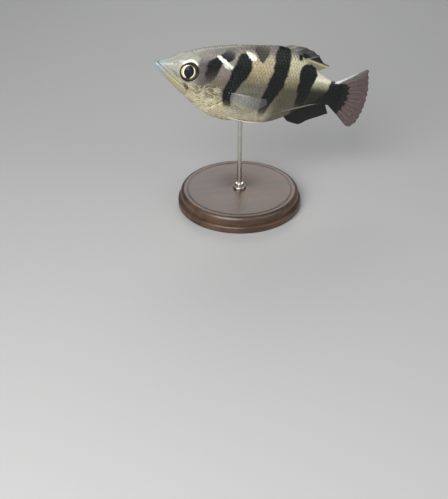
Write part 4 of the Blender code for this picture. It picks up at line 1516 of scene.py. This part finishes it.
def paint_tail(u, v, ray, places):
    """Smoky, with darker flecks on the rays, a ragged black base and a white upper edge, partly a painted
    highlight.
    """
    c = colours()
    station, height = places[:, 0], places[:, 2]
    flecks = ray * ease(v, 0.2, 0.5) * (0.6 + 0.4 * np.sin(v * 70.0) * np.sin(u * 50.0))
    haze = (1 - ease(u, 0.04, 0.26)) * (1 - ease(station, 113.0, 122.0))
    colour = blended(blended(c.tail_smoke, c.tail_fleck, flecks), c.tail_grey, haze)
    ragged = 0.6 * np.sin(u * 61.0) + 0.45 * np.sin(u * 143.0 + 1.0)
    rear = 110.6 - 0.035 * (height + 1.0) ** 2 + ragged
    bar = (1 - ease(station, rear - 0.5, rear + 0.6)) * (1 - ease(height, 6.6, 7.6))
    # The white upper edge: pale first rays, partly a painted highlight
    white = 1 - ease(u, 0.05 + 0.06 * (1 - v), 0.12 + 0.10 * (1 - v))
    white = white * (1 - ease(station, 108.5, 114.0))
    return blended(blended(colour, c.bar, bar), c.tail_white_and_highlight, white)


def paint_side_fin(u, v, ray, places):
    """Clear with pale rays that are partly painted highlights, a painted highlight along the upper root,
    and fleshy below.
    """
    c = colours()
    # A painted highlight along the upper root
    top = (1 - ease(u, 0.03, 0.14)) * (1 - ease(v, 0.25, 0.6))
    colour = blended(c.chest_clear, c.chest_ray_and_highlight, np.clip(0.5 * ray + 0.6 * top, 0, 1))
    colour = colour * (1 - 0.75 * ease(v, 0.35, 1.0))[:, None]
    return blended(colour, c.chest_flesh, ease(u, 0.45, 0.95))


def paint_belly_fin(u, v, ray, places):
    """Pinkish, with paler rays."""
    c = colours()
    return blended(c.pelvic_pink, c.pelvic_ray, ray * 0.7)


class ARCHERFISH_OT_middle_fins(bpy.types.Operator):
    """Builds the folded spiny back fin, the soft back fin, the anal fin and the tail fin"""

    bl_idname = "archerfish.middle_fins"
    bl_label = "Middle fins"

    def execute(self, context):
        black = fin_material("Black fin")
        rayed_fin(
            "back_fin_spines", SPINY_FIN, on_outline(BACK_LINE, SPINY_ROOT, -ROOT_SUNK),
            smooth_line(SPINY_EDGE), black, ("dorsal_fin_spiny",), paint_spines,
            branch=0.0, rows=40, fray=0.05,
        )
        rayed_fin(
            "back_fin_rays", SOFT_FIN, on_outline(BACK_LINE, SOFT_ROOT, -ROOT_SUNK),
            smooth_line(SOFT_EDGE), black, ("dorsal_fin_soft",), paint_soft_fin, rows=44,
        )
        rayed_fin(
            "anal_fin_rays", ANAL_FIN, on_outline(BELLY_LINE, ANAL_ROOT, ROOT_SUNK),
            smooth_line(ANAL_EDGE), black, ("anal_fin",), paint_black, spines=3, rows=44,
        )
        rayed_fin(
            "tail_fin_rays", TAIL_FIN, smooth_line(TAIL_ROOT), smooth_line(TAIL_EDGE),
            fin_material("Smoky tail fin", 0.94), ("caudal_fin",), paint_tail, wave=0.5, rows=64,
        )
        return {"FINISHED"}


class ARCHERFISH_OT_paired_fins(bpy.types.Operator):
    """Builds the side fins, laid back along the flank, and the belly fins, folded under the body"""

    bl_idname = "archerfish.paired_fins"
    bl_label = "Paired fins"

    def execute(self, context):
        clear = fin_material("Clear side fin", 0.34)
        pale = fin_material("Pale belly fin", 0.96)
        for side, word in ((-1, "left"), (1, "right")):
            mirror = np.array((1, side, 1))
            rayed_fin(
                f"side_fin_rays_{word}", CHEST_FIN, self.chest_root(side),
                smooth_line(CHEST_EDGE * mirror), clear, (f"pectoral_fin_{word}",), paint_side_fin,
                wave=0.5, rows=48, fray=0.015,
            )
            rayed_fin(
                f"belly_fin_rays_{word}", PELVIC_FIN, self.pelvic_root(side),
                smooth_line(PELVIC_EDGE * mirror), pale, (f"pelvic_fin_{word}",), paint_belly_fin,
                spines=1, rows=48,
            )
        return {"FINISHED"}

    def chest_root(self, side):
        """A short sloping line behind the gill cover, sunk a little into the flank."""

        def root(u):
            station, height = between(CHEST_ROOT, u)
            station = station - CHEST_ROOT_FORWARD
            out = flank(station, height) - CHEST_ROOT_SUNK
            return np.stack((station, side * out, height), -1)

        return root

    def pelvic_root(self, side):
        """A short line beside the middle of the belly, sunk a little into it."""

        def root(u):
            station, out = between(PELVIC_ROOT, u)
            half, level, _, bottom, _, lower = section(station)
            depth = np.maximum(1 - np.abs(out / half) ** lower, 0) ** (1 / lower)
            height = level + (bottom - level) * depth + PELVIC_ROOT_SUNK
            return np.stack((station, side * out, height), -1)

        return root


def turned(name, profile, sides):
    """A turned piece: a disc drawn up through the radii and heights of its profile."""
    bpy.ops.object.select_all(action="DESELECT")
    radius, height = profile[0]
    bpy.ops.mesh.primitive_circle_add(
        vertices=sides, radius=radius * MM, fill_type="NGON", location=(0, 0, 0)
    )
    made = start_piece(name)
    write_points(made.data, read_points(made.data) + (0, 0, height * MM))
    bpy.ops.object.mode_set(mode="EDIT")
    bpy.ops.mesh.select_all(action="SELECT")
    for next_radius, next_height in profile[1:]:
        rise = (0, 0, (next_height - height) * MM)
        bpy.ops.mesh.extrude_region_move(TRANSFORM_OT_translate={"value": rise})
        grow = next_radius / radius
        bpy.ops.transform.resize(value=(grow, grow, 1.0))
        radius, height = next_radius, next_height
    bpy.ops.object.mode_set(mode="OBJECT")
    tidy_normals(made)
    return made


def arc(centre, radius, start, end, count=6):
    """Points of a round edge in the profile of a turned piece, angles in degrees."""
    angles = [math.radians(start + (end - start) * i / count) for i in range(count + 1)]
    return [(centre[0] + radius * math.cos(t), centre[1] + radius * math.sin(t)) for t in angles]


def base_profile(radius, height):
    """The base's side: a rounded foot, a bead over a groove, a rounded rim and a shallow dish."""
    foot, bead, rim, dish = 0.6, 0.9, 2.2, height - 0.3
    line = [(radius - foot, 0.0)]
    line += arc((radius - foot, foot), foot, -60, 0, 4)
    line += arc((radius - bead, 3.0), bead, 0, 75, 4)
    line += [(radius - 1.5, 4.1), (radius - 1.5, 4.5)]
    line += arc((radius - 3.6, height - rim), rim, 0, 90, 8)
    line += [(radius - 5.2, height), (radius - 5.6, height - 0.25), (radius - 6.2, dish)]
    return line + [(radius - 14.0, dish), (6.0, dish), (5.0, height - 0.05)]


def rod_profile(radius, foot, top):
    """The rod's side: a stepped collar with rounded edges, and a straight rod with a bevelled end."""
    flange, bead, neck = 3.3, 0.4, 0.3
    line = [(3.45, foot)]
    line += arc((flange, foot + 0.35), 0.3, -60, 0, 3)
    line += arc((flange - 0.1, foot + 1.2), bead, 0, 80, 4)
    line += [(2.5, foot + 1.75), (2.35, foot + 1.9), (2.35, foot + 2.7)]
    line += arc((2.35 - neck, foot + 2.9), neck, 0, 80, 4)
    line += [(radius + 0.25, foot + 3.25), (radius, foot + 3.3), (radius, 30.0)]
    return line + [(radius, top - 0.3), (radius - 0.3, top)]


class ARCHERFISH_OT_stand(bpy.types.Operator):
    """Turns the wooden base and the steel rod with its collar"""

    bl_idname = "archerfish.stand"
    bl_label = "Stand"

    def execute(self, context):
        s = context.scene.fish_stand
        sharp = math.radians(35)
        base = turned("stand_base_turned", base_profile(s.base_radius, s.base_height), 160)
        finish_piece(base, wood_material(), ("stand_base",), sharp)
        profile = rod_profile(s.rod_radius, s.base_height - 0.1, s.rod_top)
        rod = turned("stand_rod_turned", profile, 64)
        finish_piece(rod, steel_material(), ("stand_rod",), sharp)
        return {"FINISHED"}


class ARCHERFISH_OT_stage(bpy.types.Operator):
    """Lays the pale floor, hangs the soft lights and places the camera"""

    bl_idname = "archerfish.stage"
    bl_label = "Stage"

    def execute(self, context):
        s = context.scene.fish_stage
        bpy.ops.object.select_all(action="DESELECT")
        bpy.ops.mesh.primitive_plane_add(size=s.floor_size, location=(0, 0, 0))
        floor = start_piece("floor")
        paper, _, shader = new_material("Pale floor", roughness=0.7)
        shader.inputs["Base Color"].default_value = opaque(s.floor_colour)
        floor.data.materials.append(paper)
        for name, place, target, width, power in LIGHTS:
            self.light(name, place, target, width, getattr(s, power))
        context.scene.view_settings.view_transform = "Standard"
        world = bpy.data.worlds.new("Studio")
        context.scene.world = world
        world.use_nodes = True
        light = world.node_tree.nodes["Background"]
        light.inputs[0].default_value = opaque(s.sky_colour)
        light.inputs[1].default_value = s.sky
        bpy.ops.object.camera_add(location=CAMERA_PLACE, rotation=(CAMERA_TILT, 0.0, CAMERA_TURN))
        camera = start_piece("camera")
        camera.data.lens = s.lens
        camera.data.sensor_width = SENSOR_WIDTH
        camera.data.clip_start = 0.01
        context.scene.camera = camera
        return {"FINISHED"}

    def light(self, name, place, target, size, power):
        """A square soft light, aimed at a point."""
        offset = np.subtract(target, place)
        flat = math.hypot(offset[0], offset[1])
        tilt, turn = math.atan2(flat, -offset[2]), math.atan2(-offset[0], offset[1])
        bpy.ops.object.light_add(type="AREA", location=place, rotation=(tilt, 0.0, turn))
        made = start_piece(name)
        made.data.size = size
        made.data.energy = power


class ARCHERFISH_PT_panel(bpy.types.Panel):
    """Buttons for each group of pieces, and the sizes and colours they use"""

    bl_label = "Archerfish Model"
    bl_idname = "ARCHERFISH_PT_panel"
    bl_space_type = "VIEW_3D"
    bl_region_type = "UI"
    bl_category = "Archerfish"

    def draw(self, context):
        for operator in OPERATORS:
            self.layout.operator(operator.bl_idname)
        for name in GROUPS:
            settings = getattr(context.scene, name)
            for key in settings.bl_rna.properties.keys():
                if key not in {"rna_type", "name"}:
                    self.layout.prop(settings, key)


GROUPS = {
    "fish_sizes": FishSizes,
    "fish_colours": FishColours,
    "fish_stand": StandSettings,
    "fish_stage": StageSettings,
}
OPERATORS = (
    ARCHERFISH_OT_skin, ARCHERFISH_OT_scales, ARCHERFISH_OT_eyes, ARCHERFISH_OT_middle_fins,
    ARCHERFISH_OT_paired_fins, ARCHERFISH_OT_stand, ARCHERFISH_OT_stage,
)


def register():
    """Adds the settings, operators and panel."""
    for kind in (*GROUPS.values(), *OPERATORS, ARCHERFISH_PT_panel):
        bpy.utils.register_class(kind)
    for name, kind in GROUPS.items():
        setattr(bpy.types.Scene, name, PointerProperty(type=kind))


def unregister():
    """Takes them away again."""
    for name in GROUPS:
        delattr(bpy.types.Scene, name)
    for kind in reversed((*GROUPS.values(), *OPERATORS, ARCHERFISH_PT_panel)):
        bpy.utils.unregister_class(kind)


def main():
    """Builds the model and its stage."""
    register()
    bpy.ops.archerfish.skin()
    bpy.ops.archerfish.scales()
    bpy.ops.archerfish.eyes()
    bpy.ops.archerfish.middle_fins()
    bpy.ops.archerfish.paired_fins()
    bpy.ops.archerfish.stand()
    bpy.ops.archerfish.stage()


if __name__ == "__main__":
    main()
